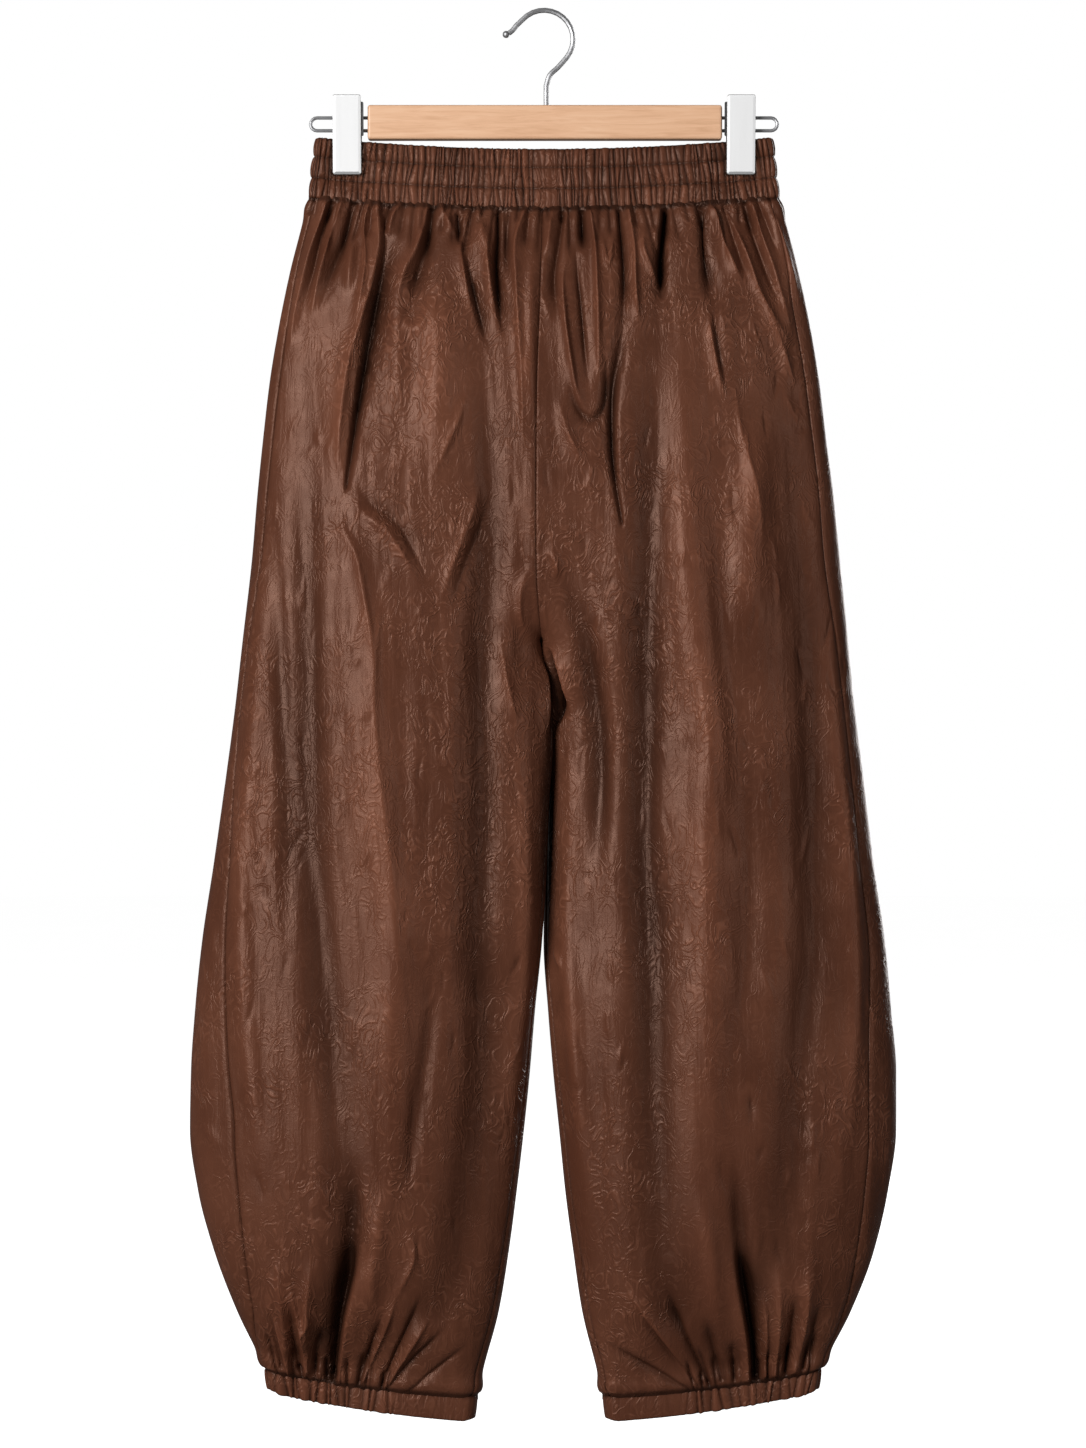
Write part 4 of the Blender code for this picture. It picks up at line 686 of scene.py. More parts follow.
def soften_crotch(base, rows):
    """Evens out the step in depth where the body parts into two legs, but not the inseam itself."""
    spread = np.exp(-0.5 * ((rows[:, None] - rows[None]) / CROTCH_SOFTENING) ** 2)
    spread *= np.abs(np.gradient(rows))
    spread /= spread.sum(axis=1, keepdims=True)
    inset = np.abs(base[..., 0] - base[:, :1, 0])
    near = ease(0, INSEAM_KEPT, inset) * bell(rows - CROTCH_Z, CROTCH_SOFT_REACH)[:, None]
    for axis in (0, 1):
        base[..., axis] += (spread @ base[..., axis] - base[..., axis]) * near
    return base


# Each face: which way it looks, its main folds, and the seeds of its small folds and of its streaks.
LEG_FACES = ((-1, FRONT_FOLDS, 31, 40), (1, BACK_FOLDS, 32, 60))
FACING = (0.05, 0.6)  # how squarely the cloth has to face front or back for folds to start and be full
# Long soft unevenness of the cloth: height, slant, and size across and down.
STREAKS = ((0.55 * MM, 0, 9 * MM, 120 * MM), (0.2475 * MM, 0.1, 5 * MM, 60 * MM))
FOLDS_BELOW_WAIST = (-2 * MM, 3 * MM)  # where the folds start and are full, below the waist seam
FOLDS_ABOVE_CUFF = (-1 * MM, 4 * MM)  # and above the cuff seam
PUFF = 1.6 * MM  # how far the gathered cloth stands out just below the waist seam
PUFF_REACH = 7 * MM
PUFF_START = 3 * MM
HEM_PUFF = 2.6 * MM
HEM_PUFF_UP, HEM_PUFF_REACH = 6 * MM, 7 * MM
SEAM_SHADE = 7 * MM  # painted shade beside a seam, as the depth of a fold of the same darkness
SEAM_SHADE_REACH = 1.8 * MM
INNER_SHADE = 10 * MM  # painted shade between the thighs
INNER_SHADE_REACH = 7 * MM
INNER_SHADE_Z = (-490 * MM, -530 * MM, -640 * MM, -740 * MM)  # it starts, is full, fades and ends
SEAM_GROOVE = 1.1 * MM
SEAM_GROOVE_WIDTH = 1.3 * MM
SEAM_COLUMNS = 24  # beside a seam, that can reach into its groove
# how much darker a seam groove is painted, as shade, for its depth
GROOVE_SHADE = 2.2
ALLOWANCE = 3.5 * MM  # how far the cut edge turns in at a seam
TUCK_ABOVE = (3 * MM, 0.86)  # how far a panel goes up behind the band, and its share of the depth there
TUCK_BELOW = (-4 * MM, 0.82)


def leg_surface(side):
    """The dressed surface of a whole leg, its outward directions, and the shade and highlight painted
    on it.
    """
    rows = leg_rows()
    base = soften_crotch(leg_grid(side, rows), rows)
    normals = leg_normals(base, side, rows)
    x, z = base[..., 0], base[..., 2]
    height, shade = np.zeros_like(x), np.zeros_like(x)
    for facing, folds, fold_seed, streak_seed in LEG_FACES:
        towards = ease(*FACING, facing * normals[..., 1])
        relief, dark = fold_relief(folds + small_folds(fold_seed), x, z)
        for more, (high, slant, wide, tall) in enumerate(STREAKS):
            relief += high * soft_noise(x + slant * z, z, wide, tall, streak_seed + more)
        height += relief * towards
        shade += dark * towards
    down = (WAIST_SEAM_Z - rows)[:, None]
    up = (rows - CUFF_SEAM_Z)[:, None]
    height *= ease(*FOLDS_BELOW_WAIST, down) * ease(*FOLDS_ABOVE_CUFF, up)
    height += PUFF * (bell(down - PUFF_REACH, PUFF_REACH) - math.exp(-1) * np.exp(-down / PUFF_START))
    height += HEM_PUFF * bell(up - HEM_PUFF_UP, HEM_PUFF_REACH) * ease(0, PUFF_START, up)
    # painted shade beside the waist seam and the cuff seam
    shade -= SEAM_SHADE * (bell(down, SEAM_SHADE_REACH) + bell(up, SEAM_SHADE_REACH))
    # painted shade along the inner edge of the leg, between the thighs
    start, full, fading, ended = INNER_SHADE_Z
    between = (ease(start, full, rows) * ease(ended, fading, rows))[:, None]
    shade -= INNER_SHADE * between * bell(x - x[:, :1], INNER_SHADE_REACH)
    moved = base + normals * height[..., None]
    return moved, leg_normals(moved, side, rows), shade


def edge_groove(grid):
    """How deep the seam groove along the first edge of a panel is."""
    steps = np.linalg.norm(np.diff(grid[:, :SEAM_COLUMNS], axis=1), axis=2)
    inset = np.cumsum(np.pad(steps, ((0, 0), (1, 0))), axis=1)
    groove = np.zeros(grid.shape[:2])
    groove[:, :SEAM_COLUMNS] = SEAM_GROOVE * np.exp(-inset / SEAM_GROOVE_WIDTH)
    return groove


def turn_in(grid, normals, depth):
    """Adds a seam groove along both edges of a panel and a strip that turns in behind them."""
    groove = edge_groove(grid) + edge_groove(grid[:, ::-1])[:, ::-1]
    grid = grid - normals * groove[..., None]
    first, last = (grid[:, [edge]] - normals[:, [edge]] * ALLOWANCE for edge in (0, -1))
    # painted shade in the seam grooves
    depth = np.pad(depth - GROOVE_SHADE * groove, ((0, 0), (1, 1)), mode="edge")
    return np.concatenate([first, grid, last], axis=1), depth


def tuck(grid, depth):
    """Adds rows that carry the panel behind the band above it and into the cuff below it."""
    ends = ((grid[:1], *TUCK_ABOVE), (grid[-1:], *TUCK_BELOW))
    top, low = (row * (1, share, 1) + (0, 0, rise) for row, rise, share in ends)
    return np.concatenate([top, grid, low]), np.pad(depth, ((1, 1), (0, 0)), mode="edge")


# ---------------------------------------------------------------- building meshes
def placed(name, data, place=(0, 0, 0)):
    obj = bpy.data.objects.new(name, data)
    obj.location = place
    bpy.context.scene.collection.objects.link(obj)
    return obj


def sheet_mesh(name, grid, depth, material, ring=False):
    """An open smooth surface through a grid of points, which keeps for each point the shade or
    highlight painted on it, given as the depth of a fold that dark or light.
    """
    rows, columns = grid.shape[:2]
    index = np.arange(rows * columns).reshape(rows, columns)
    if ring:
        index = np.concatenate([index, index[:, :1]], axis=1)
    faces = np.stack([index[:-1, :-1], index[1:, :-1], index[1:, 1:], index[:-1, 1:]], axis=-1)
    mesh = bpy.data.meshes.new(name)
    mesh.from_pydata(grid.reshape(-1, 3).tolist(), [], faces.reshape(-1, 4).tolist())
    mesh.update()
    mesh.shade_smooth()
    mesh.materials.append(material)
    # painted shade and painted highlight for each point, which the leather's colour reads
    stored = mesh.attributes.new("painted_fold_shade", "FLOAT", "POINT")
    stored.data.foreach_set("value", (depth / MM).astype(np.float32).ravel())
    return placed(name, mesh)


def face_outwards(obj):
    bm = bmesh.new()
    bm.from_mesh(obj.data)
    bmesh.ops.recalc_face_normals(bm, faces=bm.faces)
    bm.to_mesh(obj.data)
    bm.free()


def closed_wall(name, outer, painted_shading, inner, material, ring=False):
    """A wall of cloth, from the rows of its outer face, top down, and of its inner face, back up."""
    unseen = np.zeros((len(inner), len(painted_shading[0])))
    grid = np.concatenate([outer, inner, outer[:1]])
    obj = sheet_mesh(name, grid, np.concatenate([painted_shading, unseen, painted_shading[:1]]), material, ring)
    face_outwards(obj)
    return obj


# ---------------------------------------------------------------- the waistband
FRONT_PLEATS, BACK_PLEATS = 90, 94
PLEAT_COLUMNS = 10
BAND_ROW_COUNT, BAND_INNER_ROWS = 56, 6
CHANNEL_LINES = (0.0, 0.311, 0.655, 1.0)  # the stitched lines, as shares of the height from the top
CHANNEL_SWELL, CHANNEL_MEAN = 1.7 * MM, 0.35
PLEAT_HEIGHT = 2.6 * MM
PLEAT_MEAN = 0.6  # the height of a pleat, from 0 to 1, that lies on the plain face of the band
STITCHED_PLEAT = 0.55  # how much of a pleat is left where it is stitched
EDGE_ROUND = 1.1 * MM
PLEAT_SHADE = 7  # how much deeper than it is a pleat is painted, as shade in its grooves and highlight on its crests
# painted shade where the channels dip to their stitched lines
STITCH_SHADE, STITCH_REACH = 6.0 * MM, 0.45
# painted shade that makes the whole band a little darker
BAND_SHADE = 1.4 * MM
# painted shadow on the band beside the clips
CLIP_SHADE = 12 * MM
CLIP_SHADE_REACH, CLIP_SHADE_FADE = 2.4 * MM, 3 * MM
PLAIN_STRIP, PLAIN_FADE = (-3 * MM, 9.5 * MM), 3 * MM  # a calmer strip near the middle of the front
PLAIN_HEIGHT, PLAIN_SHARE = 0.75, 0.75
TOP_SCALLOP, TOP_SCALLOP_SHARE = 0.9 * MM, 0.08
BAND_OPEN_TOP, BAND_OPEN_LOW = 6.5 * MM, 8.2 * MM


def band_half_width(share):
    return BAND_TOP_HALF + (BAND_LOW_HALF - BAND_TOP_HALF) * share


def band_z(x, share):
    """The height of the band at x, where share runs down it from 0 to 1."""
    sag = WAIST_SAG * (x / band_half_width(share)) ** 2
    return WAIST_SEAM_Z + BAND_HEIGHT * (1 - share) + sag


def band_loop(share, samples=1600):
    """The outer face of the band at a share of its height, without its pleats, round the waist."""
    half = band_half_width(share)
    x = -half * np.cos(np.linspace(0, math.pi, samples))
    free = BAND_OPEN_TOP + (BAND_OPEN_LOW - BAND_OPEN_TOP) * share
    depth = gripped(free, x, band_z(x, share)) * rounding(half - np.abs(x), BAND_END_ROUND)
    return np.concatenate([np.stack([x, -depth], 1), np.stack([x, depth], 1)[-2::-1]])


def outward_of(loop):
    """Outward directions of a closed flat loop that runs with its inside on the left."""
    before = np.concatenate([loop[-2:-1], loop[:-1]])
    after = np.concatenate([loop[1:], loop[1:2]])
    heading = unit(after - before)
    return np.stack([heading[:, 1], -heading[:, 0]], axis=1)


def band_row(share, inset, places, front):
    """Points of half of the band at places from 0 to 1 between its side seams, and their outward."""
    loop = band_loop(share)
    outward = outward_of(loop)
    length = measure_of(loop, 0)
    middle = (len(loop) - 1) // 2
    right_x = loop[0, 0] + section("side_right", WAIST_SEAM_Z)
    left_x = loop[middle, 0] - section("side_left", WAIST_SEAM_Z)
    right = np.interp(right_x, loop[:middle, 0], length[:middle])
    left = np.interp(left_x, loop[:middle, 0], length[:middle])
    start, end = (right, left) if front else (left, length[-1] + right)
    round_twice = np.concatenate([np.column_stack([loop, outward])] * 2)[: len(loop) + middle]
    length_twice = np.concatenate([length, length[-1] + length])[: len(loop) + middle]
    found = along(round_twice, length_twice, start + places * (end - start))
    outward = unit(found[:, 2:])
    flat = found[:, :2] - inset * outward
    return np.column_stack([flat, band_z(found[:, 0], share)]), outward


class Pleats:
    """Uneven pleats across a strip of channels: grooves that wander from channel to channel."""

    WIDTH = (0.5, 1.5)  # against the mean width
    WANDER = 0.42  # how far a groove strays from its line, in mean widths
    DEEP, CREST, LEAN = (0.4, 1.0), (0.55, 1.0), (0.32, 0.68)
    ROUNDNESS = 0.75

    def __init__(self, count, channels, seed):
        rng = np.random.default_rng(seed)
        steps = rng.uniform(*self.WIDTH, count)
        self.lines = np.concatenate([[0.0], np.cumsum(steps)]) / steps.sum()
        shape = (channels + 1, count + 1)
        self.shift = rng.uniform(-self.WANDER, self.WANDER, shape) / count
        self.shift[:, [0, -1]] = 0
        self.deep = rng.uniform(*self.DEEP, shape)
        self.crest = rng.uniform(*self.CREST, (channels, count))
        self.lean = rng.uniform(*self.LEAN, (channels, count))

    def height(self, places, channel, t):
        """From 0 in a deep groove to 1 on a high crest; t runs down the channel from 0 to 1."""
        shift = self.shift[channel] * (1 - t) + self.shift[channel + 1] * t
        deep = self.deep[channel] * (1 - t) + self.deep[channel + 1] * t
        lines = self.lines + shift
        k = np.clip(np.searchsorted(lines, places) - 1, 0, len(lines) - 2)
        wide = lines[k + 1] - lines[k]
        across = np.clip((places - lines[k]) / wide, 0, 1)
        lean = self.lean[channel][k]
        bent = np.where(across < lean, across / lean, (1 - across) / (1 - lean)) / 2
        arch = np.sin(math.pi * bent) ** self.ROUNDNESS
        floor = 1 - (deep[k] * (1 - across) + deep[k + 1] * across)
        return (floor + (1 - floor) * arch) * self.crest[channel][k]


def channel_at(share):
    """Which channel of the band a share of its height lies in, and how far down it."""
    channel = min(int(np.searchsorted(CHANNEL_LINES, share, side="right")) - 1, len(CHANNEL_LINES) - 2)
    top, low = CHANNEL_LINES[channel], CHANNEL_LINES[channel + 1]
    return channel, (share - top) / (low - top)


CLIP_ROOM = 0.15 * MM  # between the cloth and the jaws
CLIP_ROOM_BELOW, CLIP_ROOM_BESIDE = 0.7, 1.1  # how fast it grows away from them


def beside_clip(x):
    return np.maximum(0, np.abs(np.abs(x) - CLIP_X) - CLIP_HALF_WIDTH)


def clip_limit(x, z):
    """The most that the band may reach out from its middle at x and z, where the clips are."""
    above = np.maximum(0, z - CLIP_TIP_Z) * math.tan(CLIP_LEAN)
    below = np.maximum(0, CLIP_TIP_Z - z) * CLIP_ROOM_BELOW
    return JAW_HALF_GAP - CLIP_ROOM + above + below + beside_clip(x) * CLIP_ROOM_BESIDE


def swelling(t):
    """From 0 on both edges of a channel to 1 in its middle."""
    return (4 * t * (1 - t)) ** 0.5


def edge_inset(share, height):
    """How far the rounded edge of a strip stands back at a share of its height."""
    return EDGE_ROUND * (1 - rounding(min(share, 1 - share) * height, EDGE_ROUND))


def band_half(face, pleat_count, seed, material):
    """The front or back of the band: a wall whose outer face is gathered into three channels."""
    front = face == "front"
    pleats = Pleats(pleat_count, len(CHANNEL_LINES) - 1, seed)
    places = np.linspace(0, 1, pleat_count * PLEAT_COLUMNS + 1)
    outer, painted_shading = [], []
    for share in np.linspace(0, 1, BAND_ROW_COUNT):
        row, outward = band_row(share, 0, places, front)
        channel, t = channel_at(share)
        start, end = PLAIN_STRIP
        plain = ease(start - PLAIN_FADE, start, row[:, 0]) * ease(end + PLAIN_FADE, end, row[:, 0])
        gathered = pleats.height(places, channel, t)
        gathered += (PLAIN_HEIGHT - gathered) * PLAIN_SHARE * plain * front
        gathered -= PLEAT_MEAN
        pleat = PLEAT_HEIGHT * (STITCHED_PLEAT + (1 - STITCHED_PLEAT) * swelling(t)) * gathered
        out = CHANNEL_SWELL * (swelling(t) - CHANNEL_MEAN) + pleat - edge_inset(share, BAND_HEIGHT)
        row[:, :2] += outward * out[:, None]
        # painted shadow on the band beside each clip, above its tip
        painted_clip_shadow = bell(beside_clip(row[:, 0]), CLIP_SHADE_REACH)
        painted_clip_shadow *= ease(CLIP_TIP_Z - CLIP_SHADE_FADE, CLIP_TIP_Z, row[:, 2])
        # painted shade: all over the band, at its stitched lines and beside the clips
        dark = BAND_SHADE + STITCH_SHADE * bell(swelling(t), STITCH_REACH) + CLIP_SHADE * painted_clip_shadow
        painted_shading.append(PLEAT_SHADE * pleat - dark)
        limit = clip_limit(row[:, 0], row[:, 2])
        row[:, 1] = np.clip(row[:, 1], -limit, limit)
        row[:, 2] += gathered * TOP_SCALLOP * (1 - ease(0, TOP_SCALLOP_SHARE, share))
        outer.append(row)
    up = np.linspace(1, 0, BAND_INNER_ROWS)
    inner = [band_row(share, BAND_WALL, places, front)[0] for share in up]
    return closed_wall(f"waistband_{face}_cloth", outer, painted_shading, inner, material)


# ---------------------------------------------------------------- the cuffs
CUFF_PLEATS, CUFF_PLEAT_COLUMNS = 58, 12
CUFF_GATHERED = (0.35, 0.45)  # where the pleats come in, as shares of the way from the inner end
CUFF_CALM = 0.12  # how much of a pleat is left before that
CUFF_ROW_COUNT, CUFF_INNER_ROWS = 26, 5
CUFF_PLEAT_HEIGHT = 2.8 * MM
CUFF_EDGE_PLEAT = 0.75  # how much of a pleat is left on the edges
# how much deeper than it is a cuff pleat is painted, as shade in its grooves and highlight on its
# crests
CUFF_PLEAT_SHADE = 6
CUFF_SWELL, CUFF_SWELL_MEAN = 0.7 * MM, 0.6
CUFF_SCALLOP = 1.5 * MM
CUFF_CORNER_FROM = 0.86


def cuff_loop(side, share, samples=700):
    """x, y, outward x and y, and share across, round the outer face at a share of the height."""
    sign = 1 if side == "left" else -1
    outer = section("outer_" + side, CUFF_SEAM_Z + CUFF_TILT) - sign * CUFF_NARROWING * share
    inner = section("inner_" + side, CUFF_SEAM_Z - CUFF_TILT) + sign * CUFF_NARROWING * share
    width = abs(outer - inner)
    across = (1 - np.cos(np.linspace(0, math.pi, samples))) / 2
    x = inner + (outer - inner) * across
    depth = CUFF_DEPTH * rounding(np.minimum(across, 1 - across) * width, CUFF_END_ROUND)
    loop = np.concatenate([np.stack([x, -depth], 1), np.stack([x, depth], 1)[-2::-1]])
    across = np.concatenate([across, across[-2::-1]])
    return np.column_stack([loop, outward_of(loop) * sign, across])


def cuff_row(side, share, inset, places):
    """Points round a cuff at places from 0 to 1, their outward, and their share across the leg."""
    loop = cuff_loop(side, share)
    length = measure_of(loop[:, :2], 0)
    x, y, outward_x, outward_y, across = along(loop, length, places * length[-1]).T
    tau = 2 * across - 1
    top = CUFF_SEAM_Z + cuff_line(tau) - SEAM_GAP / 2
    corner = CUFF_CORNER * ease(CUFF_CORNER_FROM, 1.0, np.abs(tau))
    z = top - (CUFF_HEIGHT - CUFF_SPLAY * tau - corner) * share
    outward = unit(np.stack([outward_x, outward_y], axis=1))
    return np.column_stack([np.stack([x, y], axis=1) - inset * outward, z]), outward, across


def cuff(side, seed, material):
    """A cuff: a wall round the ankle, gathered over its outer part."""
    pleats = Pleats(CUFF_PLEATS, 1, seed)
    places = np.linspace(0, 1, CUFF_PLEATS * CUFF_PLEAT_COLUMNS, endpoint=False)
    outer, painted_shading = [], []
    for share in np.linspace(0, 1, CUFF_ROW_COUNT):
        row, outward, across = cuff_row(side, share, 0, places)
        loose = CUFF_CALM + (1 - CUFF_CALM) * ease(*CUFF_GATHERED, across)
        gathered = (pleats.height(places, 0, share) - PLEAT_MEAN) * loose
        swell = swelling(share)
        pleat = CUFF_PLEAT_HEIGHT * gathered * (CUFF_EDGE_PLEAT + (1 - CUFF_EDGE_PLEAT) * swell)
        out = pleat + CUFF_SWELL * (swell - CUFF_SWELL_MEAN) - edge_inset(share, CUFF_HEIGHT)
        # painted shade along the top of the cuff, at its seam
        dark = SEAM_SHADE * bell(share * CUFF_HEIGHT, SEAM_SHADE_REACH)
        painted_shading.append(CUFF_PLEAT_SHADE * pleat - dark)
        row[:, :2] += outward * out[:, None]
        row[:, 2] -= gathered * CUFF_SCALLOP * share
        outer.append(row)
    up = np.linspace(1, 0, CUFF_INNER_ROWS)
    inner = [cuff_row(side, share, CUFF_WALL, places)[0] for share in up]
    return closed_wall(f"cuff_{side}_cloth", outer, painted_shading, inner, material, ring=True)


# ---------------------------------------------------------------- materials
class Nodes:
    """A short way to wire shader nodes."""

    def __init__(self, name):
        self.material = bpy.data.materials.new(name)
        self.material.use_nodes = True
        self.tree = self.material.node_tree
        self.shader = self.tree.nodes["Principled BSDF"]

    def add(self, kind, inputs=(), **settings):
        node = self.tree.nodes.new(kind)
        for key, value in settings.items():
            setattr(node, key, value)
        for key, value in dict(inputs).items():
            if isinstance(value, bpy.types.NodeSocket):
                self.tree.links.new(value, node.inputs[key])
            else:
                node.inputs[key].default_value = value
        return node

    def mapped(self, scale):
        place = self.add("ShaderNodeTexCoord").outputs["Object"]
        return self.add("ShaderNodeMapping", {"Vector": place, "Scale": scale}).outputs[0]

    def noise(self, vector, scale, detail=3.0, roughness=0.5, distortion=0.0):
        inputs = {"Vector": vector, "Scale": scale, "Detail": detail, "Roughness": roughness}
        inputs["Distortion"] = distortion
        return self.add("ShaderNodeTexNoise", inputs).outputs["Fac"]

    def maths(self, operation, a, b=0.0):
        return self.add("ShaderNodeMath", {0: a, 1: b}, operation=operation).outputs[0]

    def spread(self, value, low, high, to_low=0.0, to_high=1.0):
        inputs = {"Value": value, "From Min": low, "From Max": high}
        inputs |= {"To Min": to_low, "To Max": to_high}
        return self.add("ShaderNodeMapRange", inputs).outputs[0]

    def tinted(self, colour, tint, share=1.0):
        inputs = {0: share, 6: colour, 7: tint}
        return self.add("ShaderNodeMix", inputs, data_type="RGBA", blend_type="MULTIPLY").outputs[2]

    def ramp(self, value, *stops):
        node = self.add("ShaderNodeValToRGB", {"Fac": value})
        elements = node.color_ramp.elements
        while len(elements) < len(stops):
            elements.new(0.5)
        for element, (place, colour) in zip(elements, stops):
            element.position = place
            element.color = (*colour, 1)
        return node.outputs[0]

    def set(self, **inputs):
        for key, value in inputs.items():
            socket = self.shader.inputs[key.replace("_", " ")]
            if isinstance(value, bpy.types.NodeSocket):
                self.tree.links.new(value, socket)
            else:
                socket.default_value = value
        return self.material

    def bump(self, height, distance, strength=1.0, normal=None):
        inputs = {"Height": height, "Distance": distance, "Strength": strength}
        if normal is not None:
            inputs["Normal"] = normal
        return self.add("ShaderNodeBump", inputs).outputs[0]


LEATHER_DARK = (0.0897, 0.0302, 0.0159)
LEATHER_MID = (0.1230, 0.0436, 0.0235)
LEATHER_LIGHT = (0.1593, 0.0594, 0.0336)
SHEEN_TINT = (1.0, 0.62, 0.48)


def faux_leather():
    """Dark brown, half glossy, with a swirling crinkle that comes and goes over the cloth, and with
    shade and highlight painted into its colour from the folds.
    """
    n = Nodes("faux leather")
    plain = n.mapped((1, 1, 1))
    tall = n.mapped((1, 1, 0.62))
    patch = n.spread(n.noise(plain, 13, 2), 0.40, 0.58, 0.25, 1.0)
    field = n.noise(tall, 78, 1.8, 0.5, 0.9)
    line = n.spread(n.maths("PINGPONG", n.maths("MULTIPLY", field, 7.5), 0.5), 0.30, 0.02)
    broken = n.spread(n.noise(plain, 95, 1), 0.38, 0.60, 0.35, 1.0)
    crinkle = n.maths("MULTIPLY", n.maths("MULTIPLY", line, patch), broken)
    wisps = n.noise(n.mapped((1, 1, 0.07)), 230, 3, 0.55, 0.4)
    fine = n.noise(plain, 420, 3, 0.6, 0.8)
    pores = n.noise(plain, 2600, 2)
    layers = ((crinkle, 0.42, 1.0), (wisps, 0.6, 0.6), (fine, 0.25, 0.4), (pores, 0.05, 0.3))
    rough = None
    for relief, high, share in layers:
        rough = n.bump(relief, high * MM, share, rough)
    cloudy = n.maths("MULTIPLY", n.noise(tall, 18, 4), 0.6)
    tone = n.maths("ADD", cloudy, n.maths("MULTIPLY", crinkle, 0.30))
    colour = n.ramp(tone, (0.22, LEATHER_DARK), (0.40, LEATHER_MID), (0.62, LEATHER_LIGHT))
    # painted shade in the valleys and painted highlight on the ridges, from the fold shade stored on
    # each mesh
    fold = n.add("ShaderNodeAttribute", attribute_name="painted_fold_shade").outputs["Fac"]
    light = n.maths("ADD", n.spread(fold, -9.0, 0.0, 0.16, 1.0), n.spread(fold, 0.0, 6.0, 0.0, 0.40))
    gloss = n.spread(n.noise(plain, 60, 3), 0.3, 0.7, 0.30, 0.42)
    n.set(Specular_IOR_Level=0.29, Specular_Tint=(*SHEEN_TINT, 1))
    return n.set(Base_Color=n.tinted(colour, light), Roughness=gloss, Normal=rough)


MAPLE_DARK, MAPLE_MID = (0.76, 0.43, 0.245), (0.87, 0.515, 0.31)
MAPLE_LIGHT, MAPLE_STREAK = (0.93, 0.585, 0.37), (0.62, 0.45, 0.32)


def maple():
    n = Nodes("maple")
    grain = n.noise(n.mapped((5, 60, 60)), 3.2, 5, 0.6, 1.2)
    streak = n.spread(n.noise(n.mapped((14, 300, 300)), 2.2, 4, 0.6, 0.6), 0.56, 0.72)
    colour = n.ramp(grain, (0.3, MAPLE_DARK), (0.5, MAPLE_MID), (0.75, MAPLE_LIGHT))
    colour = n.tinted(colour, (*MAPLE_STREAK, 1), n.maths("MULTIPLY", streak, 0.3))
    return n.set(Base_Color=colour, Roughness=0.42, Normal=n.bump(grain, 0.05 * MM, 0.3))


# Each metal: colour, roughness, the scale of its scratches along each axis, and how metallic it is.
METALS = {
    "chromed wire": ((0.44, 0.44, 0.45), 0.46, (1, 1, 1), 0.85),
    # nearly white and hardly metallic: a painted reflection of bright surroundings in place of a
    # metal's own
    "satin clip": ((1.0, 1.0, 1.0), 0.42, (4, 1, 0.2), 0.04),
    "spring steel": ((0.16, 0.16, 0.16), 0.35, (1, 1, 1), 1.0),
    # darker and grey copies of the clip's finish: painted shade on the edges that look up and down
    "clip edge in shade": ((0.20, 0.19, 0.19), 0.4, (1, 1, 1), 0.3),
    "clip edge below in painted shade": ((0.50, 0.51, 0.51), 0.4, (1, 1, 1), 0.3),
}


def metal(name):
    colour, roughness, brushed, metallic = METALS[name]
    n = Nodes(name)
    scratches = n.noise(n.mapped(brushed), 60, 3)
    gloss = n.spread(scratches, 0.3, 0.7, roughness * 0.8, roughness * 1.25)
    bump = n.bump(scratches, 0.01 * MM, 0.15)
    return n.set(Base_Color=(*colour, 1), Metallic=metallic, Roughness=gloss, Normal=bump)


# ---------------------------------------------------------------- the clips
CLIP_TOP_Z = {"front": -65.6 * MM, "back": -70.0 * MM}
CLIP_CORNER = 1.7 * MM
CLIP_RINGS = ((0, 0), (0, 0.9), (0.35, 1.15), (2.1, 1.6))  # inset and height of a plate's steps, in mm
FLANGE = (13.0 * MM, -70.5 * MM, -97.0 * MM)  # half width, top and foot of the jaw behind a plate
FLANGE_CORNER = 1.2 * MM
FLANGE_BACK, FLANGE_FACE = -1.3 * MM, -0.3 * MM  # its two sides, behind the back of the plate
FLANGE_OUTER_SHARE = 0.5  # it is narrower on the outer side
CORNER_STEPS = 7
UPPER_EDGE, LOWER_EDGE = 0.12, -0.3  # faces that look further up or down get copies of the finish with painted shade
CRISP = math.radians(12)


def rounded_ring(half, low, high, radius):
    """Points round an upright rectangle with round corners: x and z."""
    corners = ((half - radius, high - radius), (radius - half, high - radius))
    corners += ((radius - half, low + radius), (half - radius, low + radius))
    points = []
    for quarter, (x, z) in enumerate(corners):
        for angle in np.linspace(quarter, quarter + 1, CORNER_STEPS) * math.pi / 2:
            points.append((x + radius * math.cos(angle), z + radius * math.sin(angle)))
    return np.array(points)


def leaning(face, x, points, out):
    """Places points of a flat outline, with heights out above it, on the leaning back of a plate."""
    sin, cos = math.sin(CLIP_LEAN), math.cos(CLIP_LEAN)
    y = face * (JAW_HALF_GAP + out * cos + points[:, 1] * sin)
    z = CLIP_TIP_Z + points[:, 1] * cos - out * sin
    return np.column_stack([x + points[:, 0], y, z])


def capped(name, rings, materials):
    """A closed piece through stacked rings of points, with crisp edges."""
    grid = np.array(rings)
    obj = sheet_mesh(name, grid, np.zeros(grid.shape[:2]), materials[0], ring=True)
    bm = bmesh.new()
    bm.from_mesh(obj.data)
    bmesh.ops.holes_fill(bm, edges=bm.edges)
    bmesh.ops.recalc_face_normals(bm, faces=bm.faces)
    for material in materials[1:]:
        obj.data.materials.append(material)
    # faces that look up or down take the copies of the finish with painted shade
    if len(materials) > 1:
        for face in bm.faces:
            looks = face.normal.z
            face.material_index = 1 if looks > UPPER_EDGE else 2 if looks < LOWER_EDGE else 0
    bm.to_mesh(obj.data)
    bm.free()
    obj.data.set_sharp_from_angle(angle=CRISP)
    return obj


